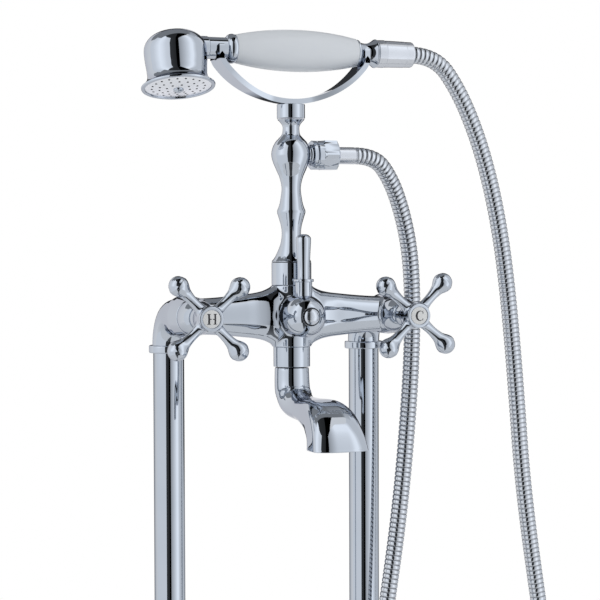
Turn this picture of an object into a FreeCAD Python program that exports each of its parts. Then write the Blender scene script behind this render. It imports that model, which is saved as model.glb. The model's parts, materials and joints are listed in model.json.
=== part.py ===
"""Floor standing bath filler: two risers, a bridge body with cross handles, spout and telephone handset.

Frame: +X to the user's right, -Y towards the bath, +Z up. The origin lies on the floor midway
between the two risers. All sizes are millimetres and live in the sheet made from SIZES.
"""

import FreeCAD
import Part
import math
import os
import Sketcher

Vector = FreeCAD.Vector
Rotation = FreeCAD.Rotation
Placement = FreeCAD.Placement

OUT_FOLDER = "parts"

SIZES = {
    # overall
    "inlet_spacing": 150.0,
    "axis_height": 870.0,
    "body_reach": 50.0,
    "running_gap": 0.3,
    "fit_gap": 0.05,
    # risers and floor flanges
    "riser_radius": 11.0,
    "riser_wall": 1.5,
    "riser_seat": 3.0,
    "flange_radius": 42.0,
    "flange_thickness": 7.0,
    "flange_boss_radius": 16.0,
    "flange_boss_height": 24.0,
    "floor_bolt_spacing": 56.0,
    "floor_bolt_radius": 2.75,
    "floor_bolt_head_radius": 5.5,
    "grub_radius": 2.5,
    "grub_length": 4.9,
    "inlet_bore_radius": 7.5,
    "inlet_bush_length": 20.0,
    # elbows
    "elbow_radius": 11.5,
    "elbow_bend": 21.8,
    "elbow_bore_radius": 7.0,
    "elbow_spigot_length": 14.0,
    "elbow_thread_radius": 9.4,
    "elbow_thread_length": 5.0,
    "collar_radius": 14.0,
    "collar_height": 5.5,
    "riser_ring_radius": 0.9,
    # bridge body
    "housing_rear": 38.0,
    "housing_front": 63.0,
    "housing_radius": 14.5,
    "housing_front_radius": 13.0,
    "arm_depth_radius": 11.9,
    "barrel_radius": 13.6,
    "barrel_rise": 21.0,
    "barrel_drop": 22.0,
    "seat_plane": 45.0,
    "chamber_radius": 9.8,
    "arm_bore_radius": 4.5,
    "seat_bore_radius": 4.5,
    "boss_front": 64.0,
    "boss_radius": 13.8,
    "diverter_bore_radius": 9.0,
    # valves, measured forwards from the riser plane
    "disc_radius": 7.0,
    "disc_thickness": 2.4,
    "disc_port_radius": 1.9,
    "disc_port_place": 3.7,
    "seal_thickness": 1.4,
    "cage_radius": 8.6,
    "cage_front": 55.0,
    "guide_front": 69.0,
    "guide_radius": 7.9,
    "stem_radius": 4.0,
    "spline_radius": 3.5,
    "stem_shoulder": 84.0,
    "stem_front": 91.5,
    "bonnet_front": 78.0,
    "bonnet_front_radius": 8.8,
    "bonnet_bulge_radius": 11.6,
    "bonnet_bulge_place": 71.5,
    # cross handles
    "hub_radius": 8.5,
    "hub_front": 101.2,
    "arm_plane": 95.0,
    "arm_root": 7.4,
    "arm_root_radius": 3.9,
    "arm_waist": 15.0,
    "arm_waist_radius": 3.3,
    "tip_centre": 30.5,
    "tip_radius": 6.6,
    "screw_radius": 1.6,
    "screw_head_radius": 3.6,
    "screw_head_height": 2.4,
    "button_radius": 6.1,
    "button_depth": 3.6,
    "button_crown": 1.1,
    # column above the body
    "column_thread_radius": 8.8,
    "column_thread_length": 9.0,
    "column_washer_thickness": 1.2,
    "lock_ring_radius": 13.9,
    "lock_ring_height": 15.9,
    "foot_edge": 37.4,
    "foot_radius": 13.9,
    "foot_curve": 44.6,
    "foot_curve_radius": 9.3,
    "foot_waist": 57.6,
    "foot_waist_radius": 6.7,
    "ridge_low": 71.4,
    "ridge_low_radius": 9.6,
    "ridge_high": 72.8,
    "ridge_rise_curve": 65.5,
    "ridge_rise_radius": 7.6,
    "ridge_fall_curve": 78.0,
    "ridge_fall_radius": 8.0,
    "upper_waist": 88.8,
    "upper_waist_radius": 6.7,
    "ball_low": 97.0,
    "ball_low_radius": 8.5,
    "ball_side": 104.0,
    "ball_side_radius": 11.9,
    "ball_centre": 112.0,
    "ball_radius": 13.8,
    "ball_top": 124.8,
    "ball_top_radius": 7.2,
    "ball_shoulder": 120.0,
    "ball_shoulder_radius": 11.2,
    "neck_curve": 128.4,
    "neck_radius": 5.9,
    "neck_top": 131.6,
    "lip_height": 137.0,
    "lip_radius": 9.5,
    "column_bore_radius": 4.8,
    "column_bore_top": 117.0,
    "cradle_post_radius": 5.0,
    # hose outlet, measured along +X from the column
    "nipple_root": 8.0,
    "nipple_thread_radius": 6.2,
    "nipple_radius": 7.5,
    "nipple_shoulder": 14.2,
    "nipple_end": 26.0,
    "nipple_bore_radius": 4.2,
    "nut_start": 14.6,
    "nut_hex_start": 22.0,
    "nut_end": 33.5,
    "nut_collar_radius": 10.2,
    "nut_flats": 20.4,
    "washer_thickness": 1.8,
    "ferrule_radius": 6.0,
    "ferrule_end": 48.0,
    "ferrule_flange_thickness": 2.4,
    "hose_bore_radius": 3.6,
    # hose
    "hose_crest_radius": 6.0,
    "hose_root_radius": 5.3,
    # cradle
    "cradle_collar_radius": 9.8,
    "cradle_collar_height": 10.2,
    "cradle_bend": 68.0,
    "cradle_corner": 12.0,
    "cradle_thickness": 3.6,
    "cradle_waist_width": 9.0,
    "cradle_fork_width": 21.6,
    "cradle_waist_reach": 14.0,
    "cradle_fork_reach": 46.0,
    "cradle_half_span": 55.5,
    "prong_top": 39.6,
    "cradle_screw_head_radius": 3.4,
    "cradle_screw_head_height": 1.8,
    "cradle_screw_length": 12.0,
    # handset, measured along +X from the column
    "handset_height": 1054.5,
    "head_offset": 84.0,
    "head_tilt": 14.2,
    "bell_radius": 21.6,
    "bell_waist_radius": 20.6,
    "bell_top": 10.4,
    "bell_shoulder": 2.0,
    "bell_corner": 10.0,
    "bell_waist": 22.0,
    "bell_wall": 1.6,
    "rim_radius": 25.4,
    "rim_height": 29.6,
    "rim_thickness": 1.6,
    "plate_radius": 22.6,
    "plate_thickness": 1.5,
    "plate_recess": 0.7,
    "plate_bulge": 2.2,
    "spray_hole_radius": 0.6,
    "inner_ring": 8.0,
    "middle_ring": 13.0,
    "outer_ring": 18.0,
    "post_radius": 4.2,
    "gasket_thickness": 0.8,
    "neck_boss_radius": 8.0,
    "neck_boss_end": 22.8,
    "handset_neck_radius": 7.5,
    "handset_bore_radius": 4.0,
    "front_ring_start": 47.7,
    "front_ring_end": 41.4,
    "front_ring_radius": 10.1,
    "tube_radius": 5.5,
    "grip_end": 48.4,
    "grip_end_radius": 9.7,
    "grip_radius": 14.6,
    "grip_swell": 1.0,
    "rear_ring_end": 50.8,
    "rear_ring_radius": 9.3,
    "rear_waist": 55.8,
    "rear_waist_radius": 6.9,
    "rear_flange": 63.6,
    "rear_flange_radius": 10.1,
    "rear_thread_radius": 6.8,
    "cone_end": 91.6,
    "cone_end_radius": 9.1,
    # diverter, measured forwards from the riser plane
    "spool_radius": 6.2,
    "spool_rear": 42.0,
    "sleeve_rear": 40.0,
    "drum_radius": 14.6,
    "drum_front": 76.0,
    "dome_front": 90.0,
    "dome_curve": 85.6,
    "dome_curve_radius": 11.2,
    "cap_radius": 6.1,
    "cap_front": 92.8,
    "cap_seat": 87.0,
    "lever_plane": 74.0,
    "lever_neck_radius": 5.9,
    "lever_neck_height": 23.6,
    "lever_ring_radius": 7.0,
    "lever_ring_height": 25.6,
    "lever_foot_radius": 4.3,
    "lever_head_radius": 5.2,
    "lever_length": 56.3,
    "lever_thread_radius": 2.5,
    # swivel spout
    "swivel_nut_radius": 12.8,
    "swivel_nut_height": 14.0,
    "swivel_thread_radius": 11.0,
    "swivel_thread_length": 8.0,
    "swivel_lip": 4.0,
    "spigot_radius": 8.0,
    "spigot_bore_radius": 5.2,
    "spigot_top": 12.0,
    "spout_ring_radius": 10.4,
    "spout_ring_height": 1.7,
    "spout_neck_radius": 12.3,
    "spout_wall": 2.0,
    "oring_radius": 0.9,
}

# Spout sections from neck to mouth: forward of the column axis, below the body axis, turn from straight
# down, half width across and half depth.
SPOUT_SECTIONS = (
    (0.0, 37.2, 0.0, 12.3, 12.3),
    (0.2, 48.0, 4.0, 12.2, 12.2),
    (3.2, 57.5, 34.0, 12.0, 12.0),
    (10.6, 62.0, 66.0, 11.8, 11.5),
    (24.0, 63.0, 88.0, 11.5, 11.0),
    (41.0, 64.0, 90.0, 11.9, 11.0),
    (58.0, 66.2, 78.0, 13.2, 11.3),
    (72.0, 70.8, 56.0, 15.2, 12.0),
    (82.0, 78.0, 24.0, 17.4, 12.8),
    (87.0, 86.5, 0.0, 19.4, 13.5),
)

# Bridge arm sections: out from the column axis, and how far half the height and half the depth exceed the
# arm's own depth radius.
ARM_SECTIONS = (
    (13.2, 9.4, 1.8),
    (17.0, 7.1, 1.7),
    (21.0, 5.4, 0.8),
    (27.0, 4.0, 0.1),
    (36.0, 2.9, 0.0),
    (50.0, 1.5, 0.0),
    (62.0, 0.7, 0.0),
    (75.0, 0.6, 0.0),
)

# Hose route from the outlet ferrule down behind the cold handle, round the hanging loop and up to the handset.
HOSE_ROUTE = (
    (48.0, -50.0, 982.0),
    (63.0, -50.0, 982.0),
    (77.5, -45.0, 966.5),
    (89.0, -39.0, 943.5),
    (97.5, -34.0, 915.0),
    (102.0, -30.5, 880.0),
    (103.0, -28.5, 838.0),
    (100.5, -28.0, 795.0),
    (96.0, -28.0, 750.0),
    (90.0, -27.0, 705.0),
    (82.5, -26.5, 660.0),
    (75.5, -26.5, 612.0),
    (70.0, -27.0, 562.0),
    (68.5, -28.0, 510.0),
    (71.0, -29.0, 457.0),
    (76.0, -30.0, 407.0),
    (94.2, -31.0, 375.0),
    (125.8, -32.0, 357.0),
    (162.2, -32.0, 357.0),
    (193.8, -32.0, 375.0),
    (212.0, -32.0, 407.0),
    (217.0, -32.0, 457.0),
    (219.5, -31.5, 510.0),
    (216.5, -31.0, 562.0),
    (210.5, -30.0, 612.0),
    (203.0, -29.5, 660.0),
    (196.0, -29.5, 706.0),
    (190.0, -30.0, 752.0),
    (186.0, -31.0, 798.0),
    (181.5, -32.5, 842.0),
    (176.0, -35.0, 884.0),
    (169.0, -38.0, 924.0),
    (159.5, -41.0, 962.0),
    (147.0, -44.5, 997.0),
    (130.0, -48.5, 1030.0),
    (110.5, -50.0, 1054.5),
    (91.7, -50.0, 1054.5),
)
ARC_SHARE = 0.45
HOSE_RIBS = 200
RIB_STATIONS = ((0.0, "root"), (0.3, "crest"), (0.6, "crest"), (0.9, "root"))

SPRAY_RINGS = (("inner_ring", 8), ("middle_ring", 14), ("outer_ring", 20))

# Floor bolt holes of a flange: one in front of the riser and one behind it.
FRONT_AND_BACK = (("front", -1), ("back", 1))

Z_AXIS = Rotation()
FORWARDS = Rotation(Vector(1, 0, 0), 90)
RIGHTWARDS = Rotation(Vector(0, 1, 0), 90)
SECTION_ACROSS = Rotation(Vector(0, 1, 0), -90)
BEND_FORWARDS = Rotation(Vector(1, 1, 1), 120)

document = FreeCAD.newDocument("BathFiller")
sheet = document.addObject("Spreadsheet::Sheet", "Sizes")
sub_parts = []


class Size:
    """A length together with the sheet expression that works it out."""

    def __init__(self, value, text):
        self.value = float(value)
        self.text = text

    def __add__(self, other):
        other = as_size(other)
        return Size(self.value + other.value, f"({self.text} + {other.text})")

    def __sub__(self, other):
        other = as_size(other)
        return Size(self.value - other.value, f"({self.text} - {other.text})")

    def __mul__(self, other):
        other = as_size(other)
        return Size(self.value * other.value, f"({self.text} * {other.text})")

    def __truediv__(self, other):
        other = as_size(other)
        return Size(self.value / other.value, f"({self.text} / {other.text})")

    def __neg__(self):
        return Size(-self.value, f"(0 - {self.text})")

    def root(self):
        """Returns the square root as a size."""
        return Size(math.sqrt(self.value), f"sqrt({self.text})")


def as_size(number):
    """Returns number as a Size, so that plain numbers can join a sum."""
    if isinstance(number, Size):
        return number
    return Size(number, str(float(number)))


class SheetSizes:
    """Gives each sheet cell as an attribute by its alias."""

    def __getattr__(self, alias):
        return Size(SIZES[alias], f"Sizes.{alias}")


size = SheetSizes()
ZERO = Size(0.0, "0")


def fill_sheet():
    """Writes every driving size to the sheet: its name in column A and its value, with the alias, in B."""
    for row, (alias, value) in enumerate(SIZES.items(), start=1):
        sheet.set(f"A{row}", alias)
        sheet.set(f"B{row}", str(value))
        sheet.setAlias(f"B{row}", alias)
    document.recompute()


def bind(thing, **properties):
    """Sets properties of a document object from sizes and keeps them bound to the sheet."""
    for name, length in properties.items():
        length = as_size(length)
        setattr(thing, name, length.value)
        thing.setExpression(name, length.text)


def place(thing, base, rotation=Z_AXIS):
    """Turns a document object and binds its place to the sheet."""
    base = [as_size(coordinate) for coordinate in base]
    thing.Placement = Placement(Vector(*[coordinate.value for coordinate in base]), rotation)
    for letter, coordinate in zip("xyz", base):
        thing.setExpression(f"Placement.Base.{letter}", coordinate.text)


def keep(thing, label):
    """Lists a document object as a finished sub-part under its label."""
    thing.Label = label
    sub_parts.append(thing)
    return thing


def plane_of(body, role):
    """Returns the origin plane or axis of a body with the given role."""
    return next(feature for feature in body.Origin.OriginFeatures if feature.Role == role)


class Through:
    """A profile point that is reached by an arc through a given middle point."""

    def __init__(self, middle, end):
        self.middle = middle
        self.end = end


def pin_point(sketch, place_of_point, point, name):
    """Holds a sketch point at two sizes from the sketch origin."""
    geometry, position = place_of_point
    for axis, kind, index in (("x", "DistanceX", 0), ("y", "DistanceY", 1)):
        length = as_size(point[index])
        if length.text == "0":
            line = -2 if axis == "x" else -1
            sketch.addConstraint(Sketcher.Constraint("PointOnObject", geometry, position, line))
            continue
        row = sketch.addConstraint(Sketcher.Constraint(kind, -1, 1, geometry, position, length.value))
        sketch.renameConstraint(row, f"{name}_{axis}")
        sketch.setExpression(f"Constraints.{name}_{axis}", length.text)


def as_vector(point):
    """Returns the sketch place of a pair of sizes."""
    return Vector(as_size(point[0]).value, as_size(point[1]).value, 0)


def draw_outline(sketch, outline):
    """Draws a closed outline of lines and arcs, with every point bound to the sheet."""
    ends = [step.end if isinstance(step, Through) else step for step in outline]
    for index, step in enumerate(outline):
        start = as_vector(ends[index - 1])
        finish = as_vector(ends[index])
        if isinstance(step, Through):
            middle = as_vector(step.middle)
            # a sketch only holds arcs that run anticlockwise
            anticlockwise = (middle - start).cross(finish - middle).z > 0
            first, last = (1, 2) if anticlockwise else (2, 1)
            curve = Part.Arc(start, middle, finish) if anticlockwise else Part.Arc(finish, middle, start)
            edge = sketch.addGeometry(curve, False)
            marker = sketch.addGeometry(Part.Point(middle), True)
            pin_point(sketch, (marker, 1), step.middle, f"middle{index}")
            sketch.addConstraint(Sketcher.Constraint("PointOnObject", marker, 1, edge))
        else:
            edge = sketch.addGeometry(Part.LineSegment(start, finish), False)
            first, last = 1, 2
        if index > 0:
            sketch.addConstraint(Sketcher.Constraint("Coincident", previous[0], previous[1], edge, first))
        else:
            opening = (edge, first)
        pin_point(sketch, (edge, last), ends[index], f"point{index}")
        previous = (edge, last)
    sketch.addConstraint(Sketcher.Constraint("Coincident", previous[0], previous[1], opening[0], opening[1]))


def new_body(name, base, rotation=Z_AXIS):
    """Makes an empty body at its place."""
    body = document.addObject("PartDesign::Body", name)
    place(body, base, rotation)
    return body


def new_sketch(body, name, role="XZ_Plane"):
    """Makes a sketch on one of the body's own origin planes."""
    sketch = body.newObject("Sketcher::SketchObject", name)
    sketch.AttachmentSupport = (plane_of(body, role), "")
    sketch.MapMode = "FlatFace"
    document.recompute()
    return sketch


def turned(name, outline, base, rotation=Z_AXIS):
    """Makes a body by turning an outline of (radius, place along the axis) points about its own axis."""
    body = new_body(name, base, rotation)
    sketch = new_sketch(body, f"{name}_outline")
    draw_outline(sketch, outline)
    turn = body.newObject("PartDesign::Revolution", f"{name}_turn")
    turn.Profile = sketch
    turn.ReferenceAxis = (sketch, ["V_Axis"])
    turn.Angle = 360
    sketch.Visibility = False
    body.Tip = turn
    return body


def ring_outline(inner, outer, low, high):
    """Outline of a plain ring or sleeve."""
    return [(inner, low), (outer, low), (outer, high), (inner, high)]


def rod_outline(radius, low, high):
    """Outline of a plain rod."""
    return [(ZERO, low), (radius, low), (radius, high), (ZERO, high)]


def crown_middle(edge, height):
    """Halfway point of a spherical crown: its radius, and its height above the edge."""
    sphere = (edge * edge + height * height) / (height * 2)
    return edge / 2, height - on_bend(sphere, edge / 2)


def crown(edge, edge_place, height):
    """Outline step from the edge of a spherical crown to its top on the axis."""
    radius, rise = crown_middle(edge, height)
    return Through((radius, edge_place + rise), (ZERO, edge_place + height))


def cylinder(name, radius, length, base, rotation=Z_AXIS):
    """Makes a cylinder that stands on base and points along the turned Z."""
    thing = document.addObject("Part::Cylinder", name)
    bind(thing, Radius=radius, Height=length)
    place(thing, base, rotation)
    return thing


def cone(name, low_radius, high_radius, length, base, rotation=Z_AXIS):
    """Makes a cone frustum that stands on base."""
    thing = document.addObject("Part::Cone", name)
    bind(thing, Radius1=low_radius, Radius2=high_radius, Height=length)
    place(thing, base, rotation)
    return thing


def block(name, length, width, height, base):
    """Makes a box with its lowest corner at base."""
    thing = document.addObject("Part::Box", name)
    bind(thing, Length=length, Width=width, Height=height)
    place(thing, base)
    return thing


def torus(name, ring_radius, section_radius, base, rotation=Z_AXIS, sweep=360):
    """Makes a whole torus, or a bend of the given sweep."""
    thing = document.addObject("Part::Torus", name)
    bind(thing, Radius1=ring_radius, Radius2=section_radius)
    thing.Angle3 = sweep
    place(thing, base, rotation)
    return thing


def joined(name, pieces):
    """Fuses document objects into one solid."""
    thing = document.addObject("Part::MultiFuse", name)
    thing.Shapes = pieces
    thing.Refine = True
    return thing


def carved(name, stock, tools):
    """Cuts document objects out of the stock, one after another."""
    thing = stock
    for index, tool in enumerate(tools, start=1):
        cut = document.addObject("Part::Cut", name if index == len(tools) else f"{name}_cut{index}")
        cut.Base = thing
        cut.Tool = tool
        thing = cut
    return thing


def common(name, first, second):
    """Keeps what two document objects share."""
    thing = document.addObject("Part::Common", name)
    thing.Base = first
    thing.Tool = second
    return thing


def group_of(name, pieces):
    """Groups separate identical solids under one label."""
    thing = document.addObject("Part::Compound", name)
    thing.Links = pieces
    return thing


def side_place(side):
    """X of the riser and valve on one side: -1 is the hot left one, 1 the cold right one."""
    return size.inlet_spacing / 2 * side


def valve_base(side):
    """Origin of a valve: on the body axis, in the plane of the risers."""
    return (side_place(side), ZERO, size.axis_height)


def column_base():
    """Point of the column axis at the height of the body axis."""
    return (ZERO, -size.body_reach, size.axis_height)


def outlet_base():
    """Point of the column axis at the height of the hose outlet."""
    return (ZERO, -size.body_reach, size.axis_height + size.ball_centre)


def handset_base():
    """Point of the handset axis above the column."""
    return (ZERO, -size.body_reach, size.handset_height)


SIDES = (("left", -1), ("right", 1))
VALVES = (("hot", -1), ("cold", 1))
# How far each closed handle stands off a true diagonal, in degrees anticlockwise seen from the front.
HANDLE_LEAN = {"hot": -1.4, "cold": 2.8}


def make_floor_flange(name, side):
    """Round floor flange with a boss for the riser, two countersunk floor holes and a grub screw hole."""
    centre = side_place(side)
    riser_hole = size.riser_radius + size.fit_gap
    stock = turned(
        f"{name}_stock",
        [
            (size.riser_radius - size.riser_wall, ZERO),
            (size.flange_radius, ZERO),
            (size.flange_radius, size.flange_thickness - 2.0),
            (size.flange_radius - 2.0, size.flange_thickness),
            (size.flange_boss_radius + 3.0, size.flange_thickness),
            Through(
                (size.flange_boss_radius + 0.9, size.flange_thickness + 0.9),
                (size.flange_boss_radius, size.flange_thickness + 3.0),
            ),
            (size.flange_boss_radius, size.flange_boss_height - 1.5),
            (size.flange_boss_radius - 1.5, size.flange_boss_height),
            (riser_hole, size.flange_boss_height),
            (riser_hole, size.riser_seat),
            (size.riser_radius - size.riser_wall, size.riser_seat),
        ],
        (centre, ZERO, ZERO),
    )
    tools = []
    for word, way in FRONT_AND_BACK:
        hole_place = (centre, size.floor_bolt_spacing / 2 * way, ZERO)
        tools.append(cylinder(f"{name}_{word}_hole", size.floor_bolt_radius, size.flange_thickness, hole_place))
        sink_depth = size.floor_bolt_head_radius - size.floor_bolt_radius
        sink_place = (hole_place[0], hole_place[1], size.flange_thickness - sink_depth)
        tools.append(
            cone(f"{name}_{word}_sink", size.floor_bolt_radius, size.floor_bolt_head_radius, sink_depth, sink_place)
        )
    grub_place = (centre, size.flange_boss_radius, size.flange_boss_height - 8.0)
    tools.append(
        cylinder(f"{name}_grub_hole", size.grub_radius, size.flange_boss_radius - size.riser_radius, grub_place, FORWARDS)
    )
    return keep(carved(name, stock, tools), name)


def make_grub_screws():
    """The two set screws that clamp the risers in their flanges, each with a hexagon socket."""
    screws = []
    for word, side in SIDES:
        start = (side_place(side), size.riser_radius + size.grub_length, size.flange_boss_height - 8.0)
        blank = cylinder(f"grub_{word}_blank", size.grub_radius - 0.02, size.grub_length, start, FORWARDS)
        socket = document.addObject("Part::Prism", f"grub_{word}_socket")
        socket.Polygon = 6
        bind(socket, Circumradius=size.grub_radius * 0.55, Height=size.grub_length * 0.5)
        place(socket, start, FORWARDS)
        screws.append(carved(f"grub_{word}", blank, [socket]))
    keep(group_of("flange_grub_screws", screws), "flange_grub_screws")


def make_riser(word, side):
    """Stand pipe from its flange seat up to the elbow; returns its inlet bush and its collar."""
    centre = (side_place(side), ZERO, ZERO)
    riser_bore = size.riser_radius - size.riser_wall
    top = size.axis_height - size.elbow_bend
    keep(
        turned(f"riser_{word}", ring_outline(riser_bore, size.riser_radius, size.riser_seat, top), centre),
        f"riser_{word}",
    )
    bush_outline = ring_outline(
        size.inlet_bore_radius,
        riser_bore - size.fit_gap / 2,
        size.riser_seat,
        size.riser_seat + size.inlet_bush_length,
    )
    bush = turned(f"inlet_bush_{word}", bush_outline, centre)
    collar_outline = [
        (size.riser_radius + size.fit_gap, top - size.collar_height),
        (size.collar_radius - 0.8, top - size.collar_height),
        Through(
            (size.collar_radius - 0.23, top - size.collar_height + 0.23),
            (size.collar_radius, top - size.collar_height + 0.8),
        ),
        (size.collar_radius, top - 0.8),
        Through((size.collar_radius - 0.23, top - 0.23), (size.collar_radius - 0.8, top)),
        (size.riser_radius + size.fit_gap, top),
    ]
    return bush, turned(f"riser_collar_{word}", collar_outline, centre)


def elbow_skin(name, side, radius):
    """Quarter bend and straight front run of an elbow, at one radius."""
    x_place = side_place(side)
    bend_base = (x_place, -size.elbow_bend, size.axis_height - size.elbow_bend)
    bend = torus(f"{name}_bend", size.elbow_bend, radius, bend_base, BEND_FORWARDS, 90)
    run_base = (x_place, -size.elbow_bend, size.axis_height)
    run = cylinder(f"{name}_run", radius, size.housing_rear - size.elbow_bend, run_base, FORWARDS)
    return [bend, run]


def make_elbow(word, side):
    """Cast elbow: a spigot down into the riser, a bend and a threaded spigot forwards into the body."""
    name = f"elbow_{word}"
    x_place = side_place(side)
    foot = size.axis_height - size.elbow_bend
    spigot_radius = size.riser_radius - size.riser_wall - size.fit_gap
    foot_place = (x_place, ZERO, foot - size.elbow_spigot_length)
    thread_place = (x_place, -size.housing_rear, size.axis_height)
    stock = joined(
        f"{name}_stock",
        elbow_skin(f"{name}_outer", side, size.elbow_radius)
        + [
            cylinder(f"{name}_spigot", spigot_radius, size.elbow_spigot_length, foot_place),
            cylinder(f"{name}_thread", size.elbow_thread_radius, size.elbow_thread_length, thread_place, FORWARDS),
        ],
    )
    bores = elbow_skin(f"{name}_bore", side, size.elbow_bore_radius) + [
        cylinder(f"{name}_spigot_bore", size.elbow_bore_radius, size.elbow_spigot_length, foot_place),
        cylinder(f"{name}_thread_bore", size.elbow_bore_radius, size.elbow_thread_length, thread_place, FORWARDS),
        ring_groove(f"{name}_groove", spigot_radius, size.riser_ring_radius, (x_place, ZERO, foot - 6.0)),
    ]
    keep(carved(name, stock, bores), name)


def ring_groove(name, outer_radius, section_radius, base):
    """Square groove for a sealing ring that stands flush with outer_radius."""
    floor = outer_radius - section_radius * 2 - size.fit_gap
    half_width = section_radius + size.fit_gap
    return turned(name, ring_outline(floor, outer_radius + 1.0, -half_width, half_width), base)


def make_riser_rings():
    """The two sealing rings on the elbow spigots."""
    spigot_radius = size.riser_radius - size.riser_wall - size.fit_gap
    foot = size.axis_height - size.elbow_bend
    rings = []
    for word, side in SIDES:
        base = (side_place(side), ZERO, foot - 6.0)
        rings.append(torus(f"riser_ring_{word}", spigot_radius - size.riser_ring_radius, size.riser_ring_radius, base))
    keep(group_of("riser_sealing_rings", rings), "riser_sealing_rings")


def arm_section(word, side, index, reach, rise, flare):
    """One upright ellipse of a bridge arm."""
    section = document.addObject("Part::Ellipse", f"arm_{word}_section{index}")
    bind(section, MajorRadius=size.arm_depth_radius + rise, MinorRadius=size.arm_depth_radius + flare)
    place(section, (as_size(reach * side), -size.body_reach, size.axis_height), SECTION_ACROSS)
    return section


def bridge_arm(word, side):
    """Cast arm between the barrel and one valve housing, swelling upright towards the barrel."""
    arm = document.addObject("Part::Loft", f"arm_{word}")
    stretch = SIZES["inlet_spacing"] / 2 / ARM_SECTIONS[-1][0]
    arm.Sections = [
        arm_section(word, side, index, reach * stretch, rise, flare)
        for index, (reach, rise, flare) in enumerate(ARM_SECTIONS)
    ]
    arm.Solid = True
    arm.Ruled = False
    return arm


def housing_stock(word, side):
    """Outer skin of one valve housing, with eased edges."""
    return turned(
        f"housing_{word}",
        [
            (ZERO, size.housing_rear),
            (size.housing_radius - 1.2, size.housing_rear),
            Through(
                (size.housing_radius - 0.35, size.housing_rear + 0.35),
                (size.housing_radius, size.housing_rear + 1.2),
            ),
            (size.housing_radius, size.housing_rear + 8.0),
            Through(
                (size.housing_radius - 0.5, size.housing_front - 8.0),
                (size.housing_front_radius, size.housing_front),
            ),
            (ZERO, size.housing_front),
        ],
        valve_base(side),
        FORWARDS,
    )


def make_mixer_body():
    """Bridge body: two valve housings, two arms, the upright barrel and the diverter boss, with its waterways."""
    x_axis, y_axis, z_axis = column_base()
    solids = [bridge_arm(word, side) for word, side in VALVES]
    solids += [housing_stock(word, side) for word, side in VALVES]
    barrel_foot = (x_axis, y_axis, z_axis - size.barrel_drop)
    solids.append(cylinder("barrel", size.barrel_radius, size.barrel_drop + size.barrel_rise, barrel_foot))
    thread_foot = (x_axis, y_axis, z_axis - size.barrel_drop - size.swivel_thread_length)
    thread_radius = size.swivel_thread_radius
    solids.append(cylinder("swivel_thread", thread_radius, size.swivel_thread_length + 2.0, thread_foot))
    boss_length = size.boss_front - size.body_reach
    solids.append(cylinder("diverter_boss", size.boss_radius, boss_length, column_base(), FORWARDS))
    stock = joined("mixer_body_stock", solids)

    tools = []
    for word, side in VALVES:
        base = valve_base(side)
        x_side = base[0]
        port_length = size.elbow_thread_length + size.fit_gap
        tools.append(
            cylinder(
                f"{word}_port",
                size.elbow_thread_radius + size.fit_gap,
                port_length,
                (x_side, -size.housing_rear, size.axis_height),
                FORWARDS,
            )
        )
        seat_start = size.housing_rear + port_length
        seat_length = size.seat_plane - seat_start
        tools.append(
            cylinder(f"{word}_seat", size.seat_bore_radius, seat_length, (x_side, -seat_start, base[2]), FORWARDS)
        )
        chamber_length = size.housing_front - size.seat_plane
        tools.append(
            cylinder(
                f"{word}_chamber",
                size.chamber_radius,
                chamber_length,
                (x_side, -size.seat_plane, base[2]),
                FORWARDS,
            )
        )
    gallery_start = (-size.inlet_spacing / 2, y_axis, z_axis)
    tools.append(cylinder("gallery", size.arm_bore_radius, size.inlet_spacing, gallery_start, RIGHTWARDS))
    sleeve_length = size.boss_front - size.sleeve_rear
    sleeve_start = (x_axis, -size.sleeve_rear, z_axis)
    tools.append(cylinder("diverter_bore", size.diverter_bore_radius, sleeve_length, sleeve_start, FORWARDS))
    spigot_clear = size.spigot_radius + size.fit_gap
    spout_foot = z_axis - size.barrel_drop - size.swivel_thread_length
    spout_depth = size.barrel_drop + size.swivel_thread_length - size.spigot_top + 0.5
    tools.append(cylinder("spout_bore", spigot_clear, spout_depth, (x_axis, y_axis, spout_foot)))
    thread_clear = size.column_thread_radius + size.fit_gap
    socket_length = size.column_thread_length + size.column_washer_thickness
    socket_foot = size.barrel_rise - socket_length
    tools.append(cylinder("column_socket", thread_clear, socket_length, (x_axis, y_axis, z_axis + socket_foot)))
    waterway_foot = (x_axis, y_axis, z_axis - size.spigot_top)
    tools.append(cylinder("body_waterway", size.column_bore_radius, socket_foot + size.spigot_top, waterway_foot))
    keep(carved("mixer_body", stock, tools), "mixer_body")


def disc_with_ports(name, radius, low, thickness, base):
    """Ceramic disc with two round ports."""
    body = turned(name, rod_outline(radius, low, low + thickness), base, FORWARDS)
    sketch = new_sketch(body, f"{name}_ports", "XY_Plane")
    for index, way in enumerate((-1, 1)):
        circle = sketch.addGeometry(
            Part.Circle(Vector(0, size.disc_port_place.value * way, 0), Vector(0, 0, 1), size.disc_port_radius.value)
        )
        pin_point(sketch, (circle, 3), (ZERO, size.disc_port_place * way), f"port{index}")
        row = sketch.addConstraint(Sketcher.Constraint("Radius", circle, size.disc_port_radius.value))
        sketch.renameConstraint(row, f"port{index}_radius")
        sketch.setExpression(f"Constraints.port{index}_radius", size.disc_port_radius.text)
    pocket = body.newObject("PartDesign::Pocket", f"{name}_drilling")
    pocket.Profile = sketch
    pocket.Type = 1
    pocket.Midplane = True
    sketch.Visibility = False
    body.Tip = pocket
    return keep(body, name)


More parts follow.
